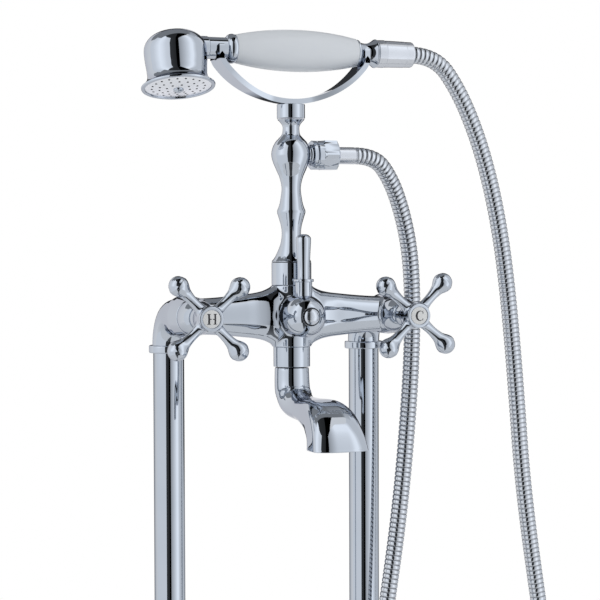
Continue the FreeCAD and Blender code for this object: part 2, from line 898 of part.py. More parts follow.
def make_cartridge(word, side):
    """Quarter turn ceramic headwork of one valve: two discs, sleeve, stem and shroud; returns its seat seal."""
    base = valve_base(side)
    seal_front = size.seat_plane + size.seal_thickness
    fixed_front = seal_front + size.disc_thickness
    moving_front = fixed_front + size.disc_thickness
    moving_radius = size.disc_radius - 0.2
    seal_outline = ring_outline(size.seat_bore_radius, size.cage_radius - 1.0, size.seat_plane, seal_front)
    seal = turned(f"{word}_seat_seal", seal_outline, base, FORWARDS)
    disc_with_ports(f"{word}_fixed_disc", size.disc_radius, seal_front, size.disc_thickness, base)
    disc_with_ports(f"{word}_moving_disc", moving_radius, fixed_front, size.disc_thickness, base)

    cage_bore = size.disc_radius + size.fit_gap
    driver_front = moving_front + 2.2
    stem_bore = size.stem_radius + size.fit_gap
    sleeve = turned(
        f"{word}_cartridge_stock",
        [
            (cage_bore, seal_front),
            (size.cage_radius, seal_front),
            (size.cage_radius, size.cage_front),
            (size.chamber_radius - size.fit_gap, size.cage_front),
            (size.chamber_radius - size.fit_gap, size.housing_front),
            (size.guide_radius, size.housing_front),
            (size.guide_radius, size.guide_front),
            (stem_bore, size.guide_front),
            (stem_bore, driver_front + size.fit_gap),
            (cage_bore, driver_front + size.fit_gap),
        ],
        base,
        FORWARDS,
    )
    window_length = size.cage_radius * 2
    window = cylinder(
        f"{word}_window",
        ((driver_front - fixed_front) * 0.45),
        window_length,
        (base[0] - size.cage_radius, -(fixed_front + driver_front) / 2, base[2]),
        RIGHTWARDS,
    )
    keep(carved(f"{word}_cartridge", sleeve, [window]), f"{word}_cartridge")

    screw_hole = size.screw_radius + size.fit_gap
    screw_depth = size.stem_front - 11.0
    keep(
        turned(
            f"{word}_spindle",
            [
                (ZERO, moving_front),
                (moving_radius, moving_front),
                (moving_radius, driver_front),
                (size.stem_radius, driver_front),
                (size.stem_radius, size.stem_shoulder),
                (size.spline_radius, size.stem_shoulder),
                (size.spline_radius, size.stem_front),
                (screw_hole, size.stem_front),
                (screw_hole, screw_depth),
                (ZERO, screw_depth),
            ],
            base,
            FORWARDS,
        ),
        f"{word}_spindle",
    )
    guide_clear = size.guide_radius + size.fit_gap
    keep(
        turned(
            f"{word}_bonnet",
            [
                (guide_clear, size.housing_front),
                (size.housing_front_radius - 0.4, size.housing_front),
                Through(
                    (size.bonnet_bulge_radius, size.bonnet_bulge_place),
                    (size.bonnet_front_radius, size.bonnet_front),
                ),
                (size.stem_radius + size.running_gap, size.bonnet_front),
                (size.stem_radius + size.running_gap, size.guide_front),
                (guide_clear, size.guide_front),
            ],
            base,
            FORWARDS,
        ),
        f"{word}_bonnet",
    )
    return seal


def make_cross_handle(word, side):
    """Cross handle with four clubbed arms, its fixing screw and its index button."""
    name = f"{word}_handle"
    body = new_body(name, valve_base(side), FORWARDS * Rotation(Vector(0, 0, 1), 45 + HANDLE_LEAN[word]))
    rear = size.bonnet_front + size.running_gap
    screw_seat = size.stem_front + 2.0
    recess_floor = size.hub_front - size.button_depth
    hub = new_sketch(body, f"{name}_hub")
    draw_outline(
        hub,
        [
            (size.stem_radius + size.fit_gap, rear),
            (size.hub_radius - 1.2, rear),
            Through((size.hub_radius - 0.35, rear + 0.35), (size.hub_radius, rear + 1.2)),
            (size.hub_radius - 0.7, size.stem_shoulder),
            (size.hub_radius, size.arm_plane - 5.0),
            (size.hub_radius, size.hub_front - 1.0),
            Through(
                (size.hub_radius - 0.3, size.hub_front - 0.3),
                (size.hub_radius - 1.0, size.hub_front),
            ),
            (size.button_radius, size.hub_front),
            (size.button_radius, recess_floor),
            (size.screw_head_radius + 0.4, recess_floor),
            (size.screw_head_radius + 0.4, screw_seat),
            (size.screw_radius + size.fit_gap, screw_seat),
            (size.screw_radius + size.fit_gap, size.stem_front + size.fit_gap),
            (size.spline_radius + size.fit_gap, size.stem_front + size.fit_gap),
            (size.spline_radius + size.fit_gap, size.stem_shoulder + size.fit_gap),
            (size.stem_radius + size.fit_gap, size.stem_shoulder + size.fit_gap),
        ],
    )
    hub_turn = body.newObject("PartDesign::Revolution", f"{name}_hub_turn")
    hub_turn.Profile = hub
    hub_turn.ReferenceAxis = (hub, ["V_Axis"])
    hub_turn.Angle = 360
    hub.Visibility = False

    arm = new_sketch(body, f"{name}_arm")
    neck = size.tip_centre - size.tip_radius * 0.8
    shoulder_rise = size.tip_radius * 0.6
    draw_outline(
        arm,
        [
            (size.arm_root, size.arm_plane),
            (size.arm_root, size.arm_plane + size.arm_root_radius),
            Through(
                (size.arm_waist, size.arm_plane + size.arm_waist_radius),
                (neck, size.arm_plane + shoulder_rise),
            ),
            Through(
                (size.tip_centre, size.arm_plane + size.tip_radius),
                (size.tip_centre + size.tip_radius, size.arm_plane),
            ),
        ],
    )
    axis = arm.addGeometry(
        Part.LineSegment(Vector(0, size.arm_plane.value, 0), Vector(size.arm_root.value, size.arm_plane.value, 0)),
        True,
    )
    pin_point(arm, (axis, 1), (ZERO, size.arm_plane), "axis_start")
    pin_point(arm, (axis, 2), (size.arm_root, size.arm_plane), "axis_end")
    arm_turn = body.newObject("PartDesign::Revolution", f"{name}_arm_turn")
    arm_turn.Profile = arm
    arm_turn.ReferenceAxis = (arm, ["Axis0"])
    arm_turn.Angle = 360
    arm.Visibility = False
    body.Tip = arm_turn
    document.recompute()
    arms = body.newObject("PartDesign::PolarPattern", f"{name}_arms")
    arms.Originals = [arm_turn]
    arms.Axis = (plane_of(body, "Z_Axis"), [""])
    arms.Angle = 360
    arms.Occurrences = 4
    body.Tip = arms
    keep(body, name)

    base = valve_base(side)
    head_front = screw_seat + size.screw_head_height
    screw_end = size.stem_front - 10.0
    keep(
        turned(
            f"{word}_handle_screw",
            [
                (ZERO, screw_end),
                (size.screw_radius, screw_end),
                (size.screw_radius, screw_seat),
                (size.screw_head_radius, screw_seat),
                (size.screw_head_radius, head_front - 0.8),
                Through((size.screw_head_radius * 0.8, head_front - 0.2), (size.screw_head_radius * 0.5, head_front)),
                (ZERO, head_front),
            ],
            base,
            FORWARDS,
        ),
        f"{word}_handle_screw",
    )
    button_edge = size.button_radius - size.fit_gap
    keep(
        turned(
            f"{word}_index_button",
            [
                (ZERO, recess_floor),
                (button_edge, recess_floor),
                (button_edge, size.hub_front),
                crown(button_edge, size.hub_front, size.button_crown),
            ],
            base,
            FORWARDS,
        ),
        f"{word}_index_button",
    )


def make_diverter():
    """Diverter: fixed sleeve, turning spool, domed drum with its lever, and the front cap."""
    base = (ZERO, ZERO, size.axis_height)
    sleeve_radius = size.diverter_bore_radius - size.fit_gap
    spool_clear = size.spool_radius + size.fit_gap
    sleeve_stock = turned(
        "diverter_sleeve_stock",
        [
            (ZERO, size.sleeve_rear),
            (sleeve_radius, size.sleeve_rear),
            (sleeve_radius, size.boss_front),
            (spool_clear, size.boss_front),
            (spool_clear, size.spool_rear),
            (ZERO, size.spool_rear),
        ],
        base,
        FORWARDS,
    )
    port_length = size.diverter_bore_radius * 2 + 2.0
    across_start = (-size.diverter_bore_radius - 1.0, -size.body_reach, size.axis_height)
    upright_start = (ZERO, -size.body_reach, size.axis_height - size.diverter_bore_radius - 1.0)
    sleeve_ports = [
        cylinder("sleeve_port_across", size.arm_bore_radius, port_length, across_start, RIGHTWARDS),
        cylinder("sleeve_port_upright", size.arm_bore_radius, port_length, upright_start),
    ]
    keep(carved("diverter_sleeve", sleeve_stock, sleeve_ports), "diverter_sleeve")

    spool_shoulder = size.boss_front + size.running_gap
    stem_front = size.lever_plane + 6.0
    screw_hole = size.screw_radius + size.fit_gap
    screw_root = stem_front - 9.0
    spool_stock = turned(
        "diverter_spool_stock",
        [
            (ZERO, size.spool_rear + size.fit_gap),
            (size.spool_radius, size.spool_rear + size.fit_gap),
            (size.spool_radius, spool_shoulder),
            (size.stem_radius, spool_shoulder),
            (size.stem_radius, stem_front),
            (screw_hole, stem_front),
            (screw_hole, screw_root),
            (ZERO, screw_root),
        ],
        base,
        FORWARDS,
    )
    spool_ports = [
        cylinder("spool_port_across", size.arm_bore_radius * 0.8, port_length, across_start, RIGHTWARDS),
        cylinder("spool_port_down", size.arm_bore_radius * 0.8, port_length / 2, upright_start),
    ]
    keep(carved("diverter_spool", spool_stock, spool_ports), "diverter_spool")

    stem_clear = size.stem_radius + size.fit_gap
    cap_clear = size.cap_radius + size.fit_gap
    drum = turned(
        "diverter_drum_turned",
        [
            (stem_clear, spool_shoulder),
            (size.drum_radius - 0.8, spool_shoulder),
            (size.drum_radius, spool_shoulder + 0.8),
            (size.drum_radius, size.drum_front),
            Through((size.dome_curve_radius, size.dome_curve), (size.cap_radius + 1.0, size.dome_front - 1.0)),
            (size.cap_radius + 0.4, size.dome_front - 1.0),
            (cap_clear, size.dome_front - 1.6),
            (cap_clear, size.cap_seat),
            (size.screw_head_radius + 0.4, size.cap_seat),
            (size.screw_head_radius + 0.4, stem_front + 2.0),
            (screw_hole, stem_front + 2.0),
            (screw_hole, stem_front + size.fit_gap),
            (stem_clear, stem_front + size.fit_gap),
        ],
        base,
        FORWARDS,
    )
    neck_start = size.drum_radius * 0.8
    neck_base = (ZERO, -size.lever_plane, size.axis_height + neck_start)
    neck = cylinder("lever_neck", size.lever_neck_radius, size.lever_neck_height - neck_start, neck_base)
    thread_depth = 8.0
    thread_base = (ZERO, -size.lever_plane, size.axis_height + size.lever_neck_height - thread_depth)
    thread_hole = cylinder("lever_thread_hole", size.lever_thread_radius + size.fit_gap, size_of(thread_depth), thread_base)
    drum_stock = joined("diverter_drum_stock", [drum, neck])
    keep(carved("diverter_drum", drum_stock, [thread_hole]), "diverter_drum")

    lever_base = (ZERO, -size.lever_plane, size.axis_height)
    thread_foot = size.lever_neck_height - thread_depth + 0.5
    lever_shoulder = size.lever_length - size.lever_head_radius
    keep(
        turned(
            "diverter_lever",
            [
                (ZERO, thread_foot),
                (size.lever_thread_radius, thread_foot),
                (size.lever_thread_radius, size.lever_neck_height),
                (size.lever_ring_radius - 0.7, size.lever_neck_height),
                Through(
                    (size.lever_ring_radius, (size.lever_neck_height + size.lever_ring_height) / 2),
                    (size.lever_ring_radius - 0.7, size.lever_ring_height),
                ),
                (size.lever_foot_radius, size.lever_ring_height),
                (size.lever_head_radius, lever_shoulder),
                Through(
                    (size.lever_head_radius * 0.8, lever_shoulder + size.lever_head_radius * 0.6),
                    (ZERO, size.lever_length),
                ),
            ],
            lever_base,
        ),
        "diverter_lever",
    )
    head_seat = stem_front + 2.0
    head_front = head_seat + size.screw_head_height
    keep(
        turned(
            "diverter_screw",
            [
                (ZERO, screw_root + 0.5),
                (size.screw_radius, screw_root + 0.5),
                (size.screw_radius, head_seat),
                (size.screw_head_radius, head_seat),
                (size.screw_head_radius, head_front),
                (ZERO, head_front),
            ],
            base,
            FORWARDS,
        ),
        "diverter_screw",
    )
    cap_edge = size.dome_front - 0.4
    keep(
        turned(
            "diverter_cap",
            [
                (ZERO, size.cap_seat),
                (size.cap_radius, size.cap_seat),
                (size.cap_radius, cap_edge),
                crown(size.cap_radius, cap_edge, size.cap_front - cap_edge),
            ],
            base,
            FORWARDS,
        ),
        "diverter_cap",
    )


def size_of(number):
    """Returns a plain number as a Size."""
    return as_size(number)


def make_column():
    """Turned column on the body, with the lock ring under its foot and its sealing washer."""
    base = column_base()
    ring_foot = size.barrel_rise
    ring_top = size.barrel_rise + size.lock_ring_height
    thread_foot = size.barrel_rise - size.column_thread_length
    keep(
        turned(
            "column_lock_ring",
            [
                (size.column_thread_radius + size.fit_gap, ring_foot),
                (size.lock_ring_radius - 0.6, ring_foot),
                (size.lock_ring_radius, ring_foot + 0.6),
                (size.lock_ring_radius, ring_top - 0.6),
                (size.lock_ring_radius - 0.6, ring_top),
                (size.column_thread_radius + size.fit_gap, ring_top),
            ],
            base,
        ),
        "column_lock_ring",
    )
    post_top = size.lip_height + size.cradle_collar_height
    stock = turned(
        "column_turned",
        [
            (ZERO, thread_foot),
            (size.column_thread_radius, thread_foot),
            (size.column_thread_radius, ring_top),
            (size.foot_radius, ring_top),
            (size.foot_radius, size.foot_edge),
            Through((size.foot_curve_radius, size.foot_curve), (size.foot_waist_radius, size.foot_waist)),
            Through((size.ridge_rise_radius, size.ridge_rise_curve), (size.ridge_low_radius, size.ridge_low)),
            (size.ridge_low_radius, size.ridge_high),
            Through((size.ridge_fall_radius, size.ridge_fall_curve), (size.upper_waist_radius, size.upper_waist)),
            (size.ball_low_radius, size.ball_low),
            Through((size.ball_side_radius, size.ball_side), (size.ball_radius, size.ball_centre)),
            Through((size.ball_shoulder_radius, size.ball_shoulder), (size.ball_top_radius, size.ball_top)),
            (size.neck_radius, size.neck_curve),
            (size.neck_radius, size.neck_top),
            Through((size.neck_radius + 0.9, size.neck_top + 3.4), (size.lip_radius, size.lip_height - 0.6)),
            (size.lip_radius, size.lip_height),
            (size.cradle_post_radius, size.lip_height),
            (size.cradle_post_radius, post_top),
            (ZERO, post_top),
        ],
        base,
    )
    x_axis, y_axis, z_axis = base
    bore = cylinder(
        "column_bore", size.column_bore_radius, size.column_bore_top - thread_foot, (x_axis, y_axis, z_axis + thread_foot)
    )
    outlet = cylinder(
        "column_outlet",
        size.nipple_thread_radius + size.fit_gap,
        size.ball_radius - size.nipple_root + 2.0,
        (size.nipple_root, y_axis, z_axis + size.ball_centre),
        RIGHTWARDS,
    )
    cross = cylinder("column_cross_bore", size.nipple_bore_radius, size.nipple_root, outlet_base(), RIGHTWARDS)
    spot_face = cylinder(
        "column_spot_face", size.nipple_radius + 0.5, size_of(4.0), (size.nipple_shoulder - 0.9, y_axis, outlet_base()[2]),
        RIGHTWARDS,
    )
    screw_hole = cylinder(
        "column_screw_hole",
        size.screw_radius + size.fit_gap,
        size.cradle_screw_length,
        (x_axis, y_axis, z_axis + post_top - size.cradle_screw_length),
    )
    keep(carved("column", stock, [bore, outlet, cross, spot_face, screw_hole]), "column")
    socket_foot = thread_foot - size.column_washer_thickness
    washer_outline = ring_outline(size.column_bore_radius, size.column_thread_radius, socket_foot, thread_foot)
    keep(turned("column_washer", washer_outline, base), "column_washer")


def make_hose_outlet():
    """Hose outlet on the column: nipple, union nut with six flats, sealing washer and hose ferrule."""
    base = outlet_base()
    keep(
        turned(
            "outlet_nipple",
            [
                (size.nipple_bore_radius, size.nipple_root),
                (size.nipple_thread_radius, size.nipple_root),
                (size.nipple_thread_radius, size.nipple_shoulder - 0.9),
                (size.nipple_radius, size.nipple_shoulder - 0.9),
                (size.nipple_radius, size.nipple_end),
                (size.nipple_bore_radius, size.nipple_end),
            ],
            base,
            RIGHTWARDS,
        ),
        "outlet_nipple",
    )
    washer_end = size.nipple_end + size.washer_thickness
    flange_end = washer_end + size.ferrule_flange_thickness
    corner = size.nut_flats / 2 / math.cos(math.radians(30))
    inner = size.nipple_radius + size.fit_gap
    blank = turned(
        "union_nut_blank",
        [
            (inner, size.nut_start),
            (size.nut_collar_radius - 0.8, size.nut_start),
            (size.nut_collar_radius, size.nut_start + 0.8),
            (size.nut_collar_radius, size.nut_start + 2.6),
            (size.nut_collar_radius - 0.7, size.nut_start + 3.2),
            (size.nut_collar_radius, size.nut_start + 3.8),
            (size.nut_collar_radius, size.nut_hex_start),
            (corner, size.nut_hex_start + 1.0),
            (corner, size.nut_end - 1.2),
            (size.nut_flats / 2 - 0.4, size.nut_end),
            (size.ferrule_radius + size.fit_gap, size.nut_end),
            (size.ferrule_radius + size.fit_gap, flange_end),
            (inner, flange_end),
        ],
        base,
        RIGHTWARDS,
    )
    flats = document.addObject("Part::Prism", "union_nut_flats")
    flats.Polygon = 6
    bind(flats, Circumradius=corner, Height=size.nut_end - size.nut_start)
    place(flats, (size.nut_start, base[1], base[2]), RIGHTWARDS * Rotation(Vector(0, 0, 1), 30))
    keep(common("hose_union_nut", blank, flats), "hose_union_nut")
    keep(
        turned(
            "outlet_washer",
            ring_outline(size.nipple_bore_radius, size.nipple_radius, size.nipple_end, washer_end),
            base,
            RIGHTWARDS,
        ),
        "outlet_washer",
    )
    keep(
        turned(
            "hose_ferrule",
            [
                (size.hose_bore_radius, washer_end),
                (size.nipple_radius, washer_end),
                (size.nipple_radius, flange_end),
                (size.ferrule_radius, flange_end),
                (size.ferrule_radius, size.ferrule_end),
                (size.hose_bore_radius, size.ferrule_end),
            ],
            base,
            RIGHTWARDS,
        ),
        "hose_ferrule",
    )


def make_cradle():
    """Cradle on the column top: collar, flat U bar whose ends fork round the handset, and its screw."""
    x_axis, y_axis, z_axis = column_base()
    collar_foot = size.lip_height
    collar_top = size.lip_height + size.cradle_collar_height
    keep(
        turned(
            "cradle_collar",
            [
                (size.cradle_post_radius + size.fit_gap, collar_foot),
                (size.cradle_collar_radius - 0.5, collar_foot),
                (size.cradle_collar_radius, collar_foot + 0.5),
                (size.cradle_collar_radius, collar_top - 0.5),
                (size.cradle_collar_radius - 0.5, collar_top),
                (size.cradle_post_radius + size.fit_gap, collar_top),
            ],
            column_base(),
        ),
        "cradle_collar",
    )

    body = new_body("cradle_bar", (x_axis, y_axis, z_axis + collar_top))
    sketch = new_sketch(body, "cradle_curve")
    draw_outline(sketch, cradle_outline())
    bar = body.newObject("PartDesign::Pad", "cradle_pad")
    bar.Profile = sketch
    bind(bar, Length=size.cradle_fork_width)
    bar.Midplane = True
    sketch.Visibility = False
    body.Tip = bar

    outline = new_body("cradle_taper", (x_axis, y_axis, z_axis + collar_top))
    taper = new_sketch(outline, "cradle_taper_curve", "XY_Plane")
    draw_outline(taper, cradle_taper_outline())
    taper_pad = outline.newObject("PartDesign::Pad", "cradle_taper_pad")
    taper_pad.Profile = taper
    bind(taper_pad, Length=size.handset_height - size.axis_height)
    taper.Visibility = False
    outline.Tip = taper_pad
    shaped = common("cradle_shaped", body, outline)

    tools = []
    clear = size.handset_neck_radius + size.running_gap
    for word, way in SIDES:
        inner_edge = size.cradle_fork_reach - 8.0
        start = inner_edge if way > 0 else -(inner_edge + 30.0)
        tools.append(
            cylinder(f"saddle_{word}", clear, size_of(30.0), (start, y_axis, size.handset_height), RIGHTWARDS)
        )
        tools.append(
            block(
                f"saddle_slot_{word}",
                size_of(30.0),
                clear * 2,
                size_of(30.0),
                (start, y_axis - clear, size.handset_height),
            )
        )
    head_depth = size.cradle_screw_head_height
    head_place = (x_axis, y_axis, z_axis + collar_top + size.cradle_thickness - head_depth)
    tools.append(cone("cradle_sink", size.screw_radius, size.cradle_screw_head_radius, head_depth, head_place))
    hole_place = (x_axis, y_axis, z_axis + collar_top)
    tools.append(cylinder("cradle_hole", size.screw_radius + size.fit_gap, size.cradle_thickness, hole_place))
    keep(carved("cradle", shaped, tools), "cradle")

    screw_top = size.cradle_thickness
    shank_foot = -(size.cradle_screw_length - 1.0)
    keep(
        turned(
            "cradle_screw",
            [
                (ZERO, shank_foot),
                (size.screw_radius, shank_foot),
                (size.screw_radius, screw_top - head_depth),
                (size.cradle_screw_head_radius - size.fit_gap, screw_top),
                (ZERO, screw_top),
            ],
            (x_axis, y_axis, z_axis + collar_top),
        ),
        "cradle_screw",
    )


def on_bend(radius, reach):
    """Height above the lowest point of a circle of the given radius, at a reach beside it."""
    return radius - (radius * radius - reach * reach).root()


def cradle_side(inset, side):
    """Joints and middle point of one corner of the U, on the bar's outside or drawn in by its thickness."""
    bend = size.cradle_bend
    corner_reach = size.cradle_half_span - size.cradle_corner
    centres = bend - size.cradle_corner
    corner_rise = bend - (centres * centres - corner_reach * corner_reach).root()
    joint_share = (bend - inset) / centres
    joint = (corner_reach * joint_share * side, bend - (bend - corner_rise) * joint_share)
    radius = size.cradle_corner - inset
    middle = ((corner_reach + radius * 0.96) * side, corner_rise - radius * 0.28)
    upright = ((corner_reach + radius) * side, corner_rise)
    return joint, middle, upright


def cradle_outline():
    """Side outline of the U bar: a wide bend, a corner at each end and two upright prongs."""
    thickness = size.cradle_thickness
    outer_joint, outer_middle, outer_upright = cradle_side(ZERO, 1)
    inner_joint, inner_middle, inner_upright = cradle_side(thickness, 1)
    far_joint, far_middle, far_upright = cradle_side(ZERO, -1)
    near_joint, near_middle, near_upright = cradle_side(thickness, -1)
    bottom = Size(0.0, "(Sizes.fit_gap * 0)")
    return [
        far_upright,
        Through(far_middle, far_joint),
        Through((ZERO, bottom), outer_joint),
        Through(outer_middle, outer_upright),
        (outer_upright[0], size.prong_top),
        (inner_upright[0], size.prong_top),
        inner_upright,
        Through(inner_middle, inner_joint),
        Through((ZERO, thickness), near_joint),
        Through(near_middle, near_upright),
        (near_upright[0], size.prong_top),
        (far_upright[0], size.prong_top),
    ]


def cradle_taper_outline():
    """Outline from above: narrow at the column, widening to the forks."""
    waist = size.cradle_waist_width / 2
    fork = size.cradle_fork_width / 2
    near = size.cradle_waist_reach
    middle = (size.cradle_waist_reach + size.cradle_fork_reach) / 2
    swell = (waist * 2 + fork) / 3
    far = size.cradle_half_span + size.cradle_thickness
    return [
        (near, -waist),
        Through((middle, -swell), (size.cradle_fork_reach, -fork)),
        (far, -fork),
        (far, fork),
        (size.cradle_fork_reach, fork),
        Through((middle, swell), (near, waist)),
        (-near, waist),
        Through((-middle, swell), (-size.cradle_fork_reach, fork)),
        (-far, fork),
        (-far, -fork),
        (-size.cradle_fork_reach, -fork),
        Through((-middle, -swell), (-near, -waist)),
    ]


def head_base():
    """Point where the handset axis crosses the axis of the spray head."""
    return (-size.head_offset, -size.body_reach, size.handset_height)


def dome_steps(radius, height, corner, foot):
    """Outline steps of a flattened dome: a corner arc and a wide crown that share a tangent."""
    reach = radius - corner
    sphere = (reach * reach + height * height - corner * corner) / ((height - corner) * 2)
    share = corner / (sphere - corner)
    joint_radius = reach + reach * share
    joint_rise = (sphere - height) * share
    crown_rise = height - on_bend(sphere, joint_radius / 2)
    return [
        Through((reach + corner * 0.8, foot + corner * 0.6), (joint_radius, foot + joint_rise)),
        Through((joint_radius / 2, foot + crown_rise), (ZERO, foot + height)),
    ]


def make_spray_head():
    """Spray head: hollow bell with a centre post, gasket, perforated plate and centre screw."""
    tilt = Rotation(Vector(1, 0, 0), -SIZES["head_tilt"])
    wall = size.bell_wall
    plate_front = -(size.rim_height - size.plate_recess)
    plate_back = plate_front + size.plate_thickness
    gasket_back = plate_back + size.gasket_thickness
    hole = size.screw_radius + size.fit_gap
    inner_radius = size.bell_radius - wall
    bell = turned(
        "spray_head_turned",
        [
            (size.plate_radius + size.fit_gap, -size.rim_height),
            (size.rim_radius - 0.8, -size.rim_height),
            Through((size.rim_radius, -size.rim_height + 0.8), (size.rim_radius - 0.5, -size.rim_height + size.rim_thickness)),
            Through(
                (size.bell_waist_radius + 1.2, -size.bell_waist - 3.2),
                (size.bell_waist_radius, -size.bell_waist),
            ),
            (size.bell_radius, -size.bell_shoulder * 3),
            (size.bell_radius, -size.bell_shoulder),
        ]
        + dome_steps(size.bell_radius, size.bell_top + size.bell_shoulder, size.bell_corner, -size.bell_shoulder)
        + [
            (ZERO, -size.bell_waist + 8.0),
            (hole, -size.bell_waist + 8.0),
            (hole, plate_back - size.plate_bulge * 0.86),
            (size.post_radius, plate_back - size.plate_bulge * 0.86),
            (size.post_radius, size.bell_top - wall * 1.5),
            Through(
                (inner_radius - size.bell_corner * 0.35, size.bell_top * 0.45 - wall),
                (inner_radius, -size.bell_shoulder),
            ),
            (inner_radius, -size.bell_shoulder * 3),
            (size.bell_waist_radius - wall, -size.bell_waist),
            (size.plate_radius - 2.0, gasket_back),
            (size.plate_radius + size.fit_gap, gasket_back),
        ],
        head_base(),
        tilt,
    )
    x_head, y_head, z_head = head_base()
    boss_start = size.bell_radius - wall * 2.0
    boss = cylinder(
        "head_boss",
        size.neck_boss_radius,
        size.neck_boss_end - boss_start,
        (x_head + boss_start, y_head, z_head),
        RIGHTWARDS,
    )
    socket = cylinder(
        "head_socket",
        size.handset_neck_radius - 1.1 + size.fit_gap,
        size.neck_boss_end - boss_start + 2.0,
        (x_head + boss_start - 2.0, y_head, z_head),
        RIGHTWARDS,
    )
    keep(carved("spray_head", joined("spray_head_stock", [bell, boss]), [socket]), "spray_head")
    gasket_outline = ring_outline(size.plate_radius - 2.0, size.plate_radius, plate_back, gasket_back)
    keep(turned("spray_gasket", gasket_outline, head_base(), tilt), "spray_gasket")
    make_spray_plate(tilt, plate_front, plate_back)
    screw_crown = size_of(1.5)
    head_rear = plate_front - size.plate_bulge
    crown_radius, crown_rise = crown_middle(size.screw_head_radius, screw_crown)
    keep(
        turned(
            "spray_screw",
            [
                (ZERO, head_rear - 0.4 - screw_crown),
                Through((crown_radius, head_rear - 0.4 - crown_rise), (size.screw_head_radius, head_rear - 0.4)),
                (size.screw_head_radius, head_rear),
                (size.screw_radius, head_rear),
                (size.screw_radius, -size.bell_waist + 7.0),
                (ZERO, -size.bell_waist + 7.0),
            ],
            head_base(),
            tilt,
        ),
        "spray_screw",
    )


def make_spray_plate(tilt, plate_front, plate_back):
    """Perforated face plate: a shallow cone with rings of spray holes."""
    body = turned(
        "spray_plate",
        [
            (size.screw_radius + size.fit_gap, plate_front - size.plate_bulge),
            (size.plate_radius - 2.0, plate_front),
            (size.plate_radius, plate_front),
            (size.plate_radius, plate_back),
            (size.plate_radius - 2.0, plate_back),
            (size.screw_radius + size.fit_gap, plate_back - size.plate_bulge),
        ],
        head_base(),
        tilt,
    )
    for ring, count in SPRAY_RINGS:
        place_of_hole = Size(SIZES[ring], f"Sizes.{ring}")
        sketch = new_sketch(body, f"spray_{ring}", "XY_Plane")
        circle = sketch.addGeometry(
            Part.Circle(Vector(place_of_hole.value, 0, 0), Vector(0, 0, 1), size.spray_hole_radius.value)
        )
        pin_point(sketch, (circle, 3), (place_of_hole, ZERO), "hole")
        row = sketch.addConstraint(Sketcher.Constraint("Radius", circle, size.spray_hole_radius.value))
        sketch.renameConstraint(row, "hole_radius")
        sketch.setExpression("Constraints.hole_radius", size.spray_hole_radius.text)
        pocket = body.newObject("PartDesign::Pocket", f"spray_{ring}_hole")
        pocket.Profile = sketch
        pocket.Type = 1
        pocket.Midplane = True
        sketch.Visibility = False
        body.Tip = pocket
        document.recompute()
        pattern = body.newObject("PartDesign::PolarPattern", f"spray_{ring}_holes")
        pattern.Originals = [pocket]
        pattern.Axis = (plane_of(body, "Z_Axis"), [""])
        pattern.Angle = 360
        pattern.Occurrences = count
        body.Tip = pattern
        document.recompute()
    keep(body, "spray_plate")


def make_handset_grip():
    """Handset behind its head: neck, rings, inner tube, porcelain grip and tail with the hose nut."""
    base = handset_base()
    neck_start = -size.head_offset + size.neck_boss_end
    spigot_start = neck_start - 4.5
    bore = size.handset_bore_radius
    keep(
        turned(
            "handset_neck",
            [
                (bore, spigot_start),
                (size.handset_neck_radius - 1.1, spigot_start),
                (size.handset_neck_radius - 1.1, neck_start),
                (size.handset_neck_radius, neck_start),
                (size.handset_neck_radius, -size.front_ring_start),
                (bore, -size.front_ring_start),
            ],
            base,
            RIGHTWARDS,
        ),
        "handset_neck",
    )
    tube_clear = size.tube_radius + size.fit_gap
    middle = (-size.front_ring_start - size.front_ring_end) / 2
    keep(
        turned(
            "front_grip_ring",
            [
                (tube_clear, -size.front_ring_start),
                (size.handset_neck_radius, -size.front_ring_start),
                Through((size.front_ring_radius, middle), (size.grip_end_radius, -size.front_ring_end)),
                (tube_clear, -size.front_ring_end),
            ],
            base,
            RIGHTWARDS,
        ),
        "front_grip_ring",
    )
    tube_end = size.rear_ring_end + 3.0
    keep(
        turned("grip_tube", ring_outline(bore, size.tube_radius, -size.front_ring_start, tube_end), base, RIGHTWARDS),
        "grip_tube",
    )
    keep(
        turned(
            "porcelain_grip",
            [
                (tube_clear, -size.front_ring_end),
                (size.grip_end_radius, -size.front_ring_end),
                Through((size.grip_radius, size.grip_swell), (size.grip_end_radius, size.grip_end)),
                (tube_clear, size.grip_end),
            ],
            base,
            RIGHTWARDS,
        ),
        "porcelain_grip",
    )
    thread_end = size.rear_flange + 8.0
    keep(
        turned(
            "handset_tail",
            [
                (tube_clear, size.grip_end),
                (size.rear_ring_radius, size.grip_end),
                (size.rear_ring_radius, size.rear_ring_end - 0.8),
                (size.rear_waist_radius + 1.0, size.rear_ring_end),
                Through((size.rear_waist_radius, size.rear_waist), (size.rear_flange_radius, size.rear_flange - 0.8)),
                (size.rear_flange_radius, size.rear_flange),
                (size.rear_thread_radius, size.rear_flange),
                (size.rear_thread_radius, thread_end),
                (bore, thread_end),
                (bore, tube_end),
                (tube_clear, tube_end),
            ],
            base,
            RIGHTWARDS,
        ),
        "handset_tail",
    )
    washer_end = thread_end + size.washer_thickness
    keep(
        turned("handset_washer", ring_outline(bore, size.rear_thread_radius, thread_end, washer_end), base, RIGHTWARDS),
        "handset_washer",
    )
    thread_clear = size.rear_thread_radius + size.fit_gap
    keep(
        turned(
            "hose_cone_nut",
            [
                (thread_clear, size.rear_flange),
                (size.rear_flange_radius - 0.3, size.rear_flange),
                (size.cone_end_radius, size.cone_end - 2.2),
                Through(
                    (size.cone_end_radius - 0.65, size.cone_end - 0.65),
                    (size.cone_end_radius - 2.2, size.cone_end),
                ),
                (size.hose_bore_radius, size.cone_end),
                (size.hose_bore_radius, washer_end),
                (thread_clear, washer_end),
            ],
            base,
            RIGHTWARDS,
        ),
        "hose_cone_nut",
    )


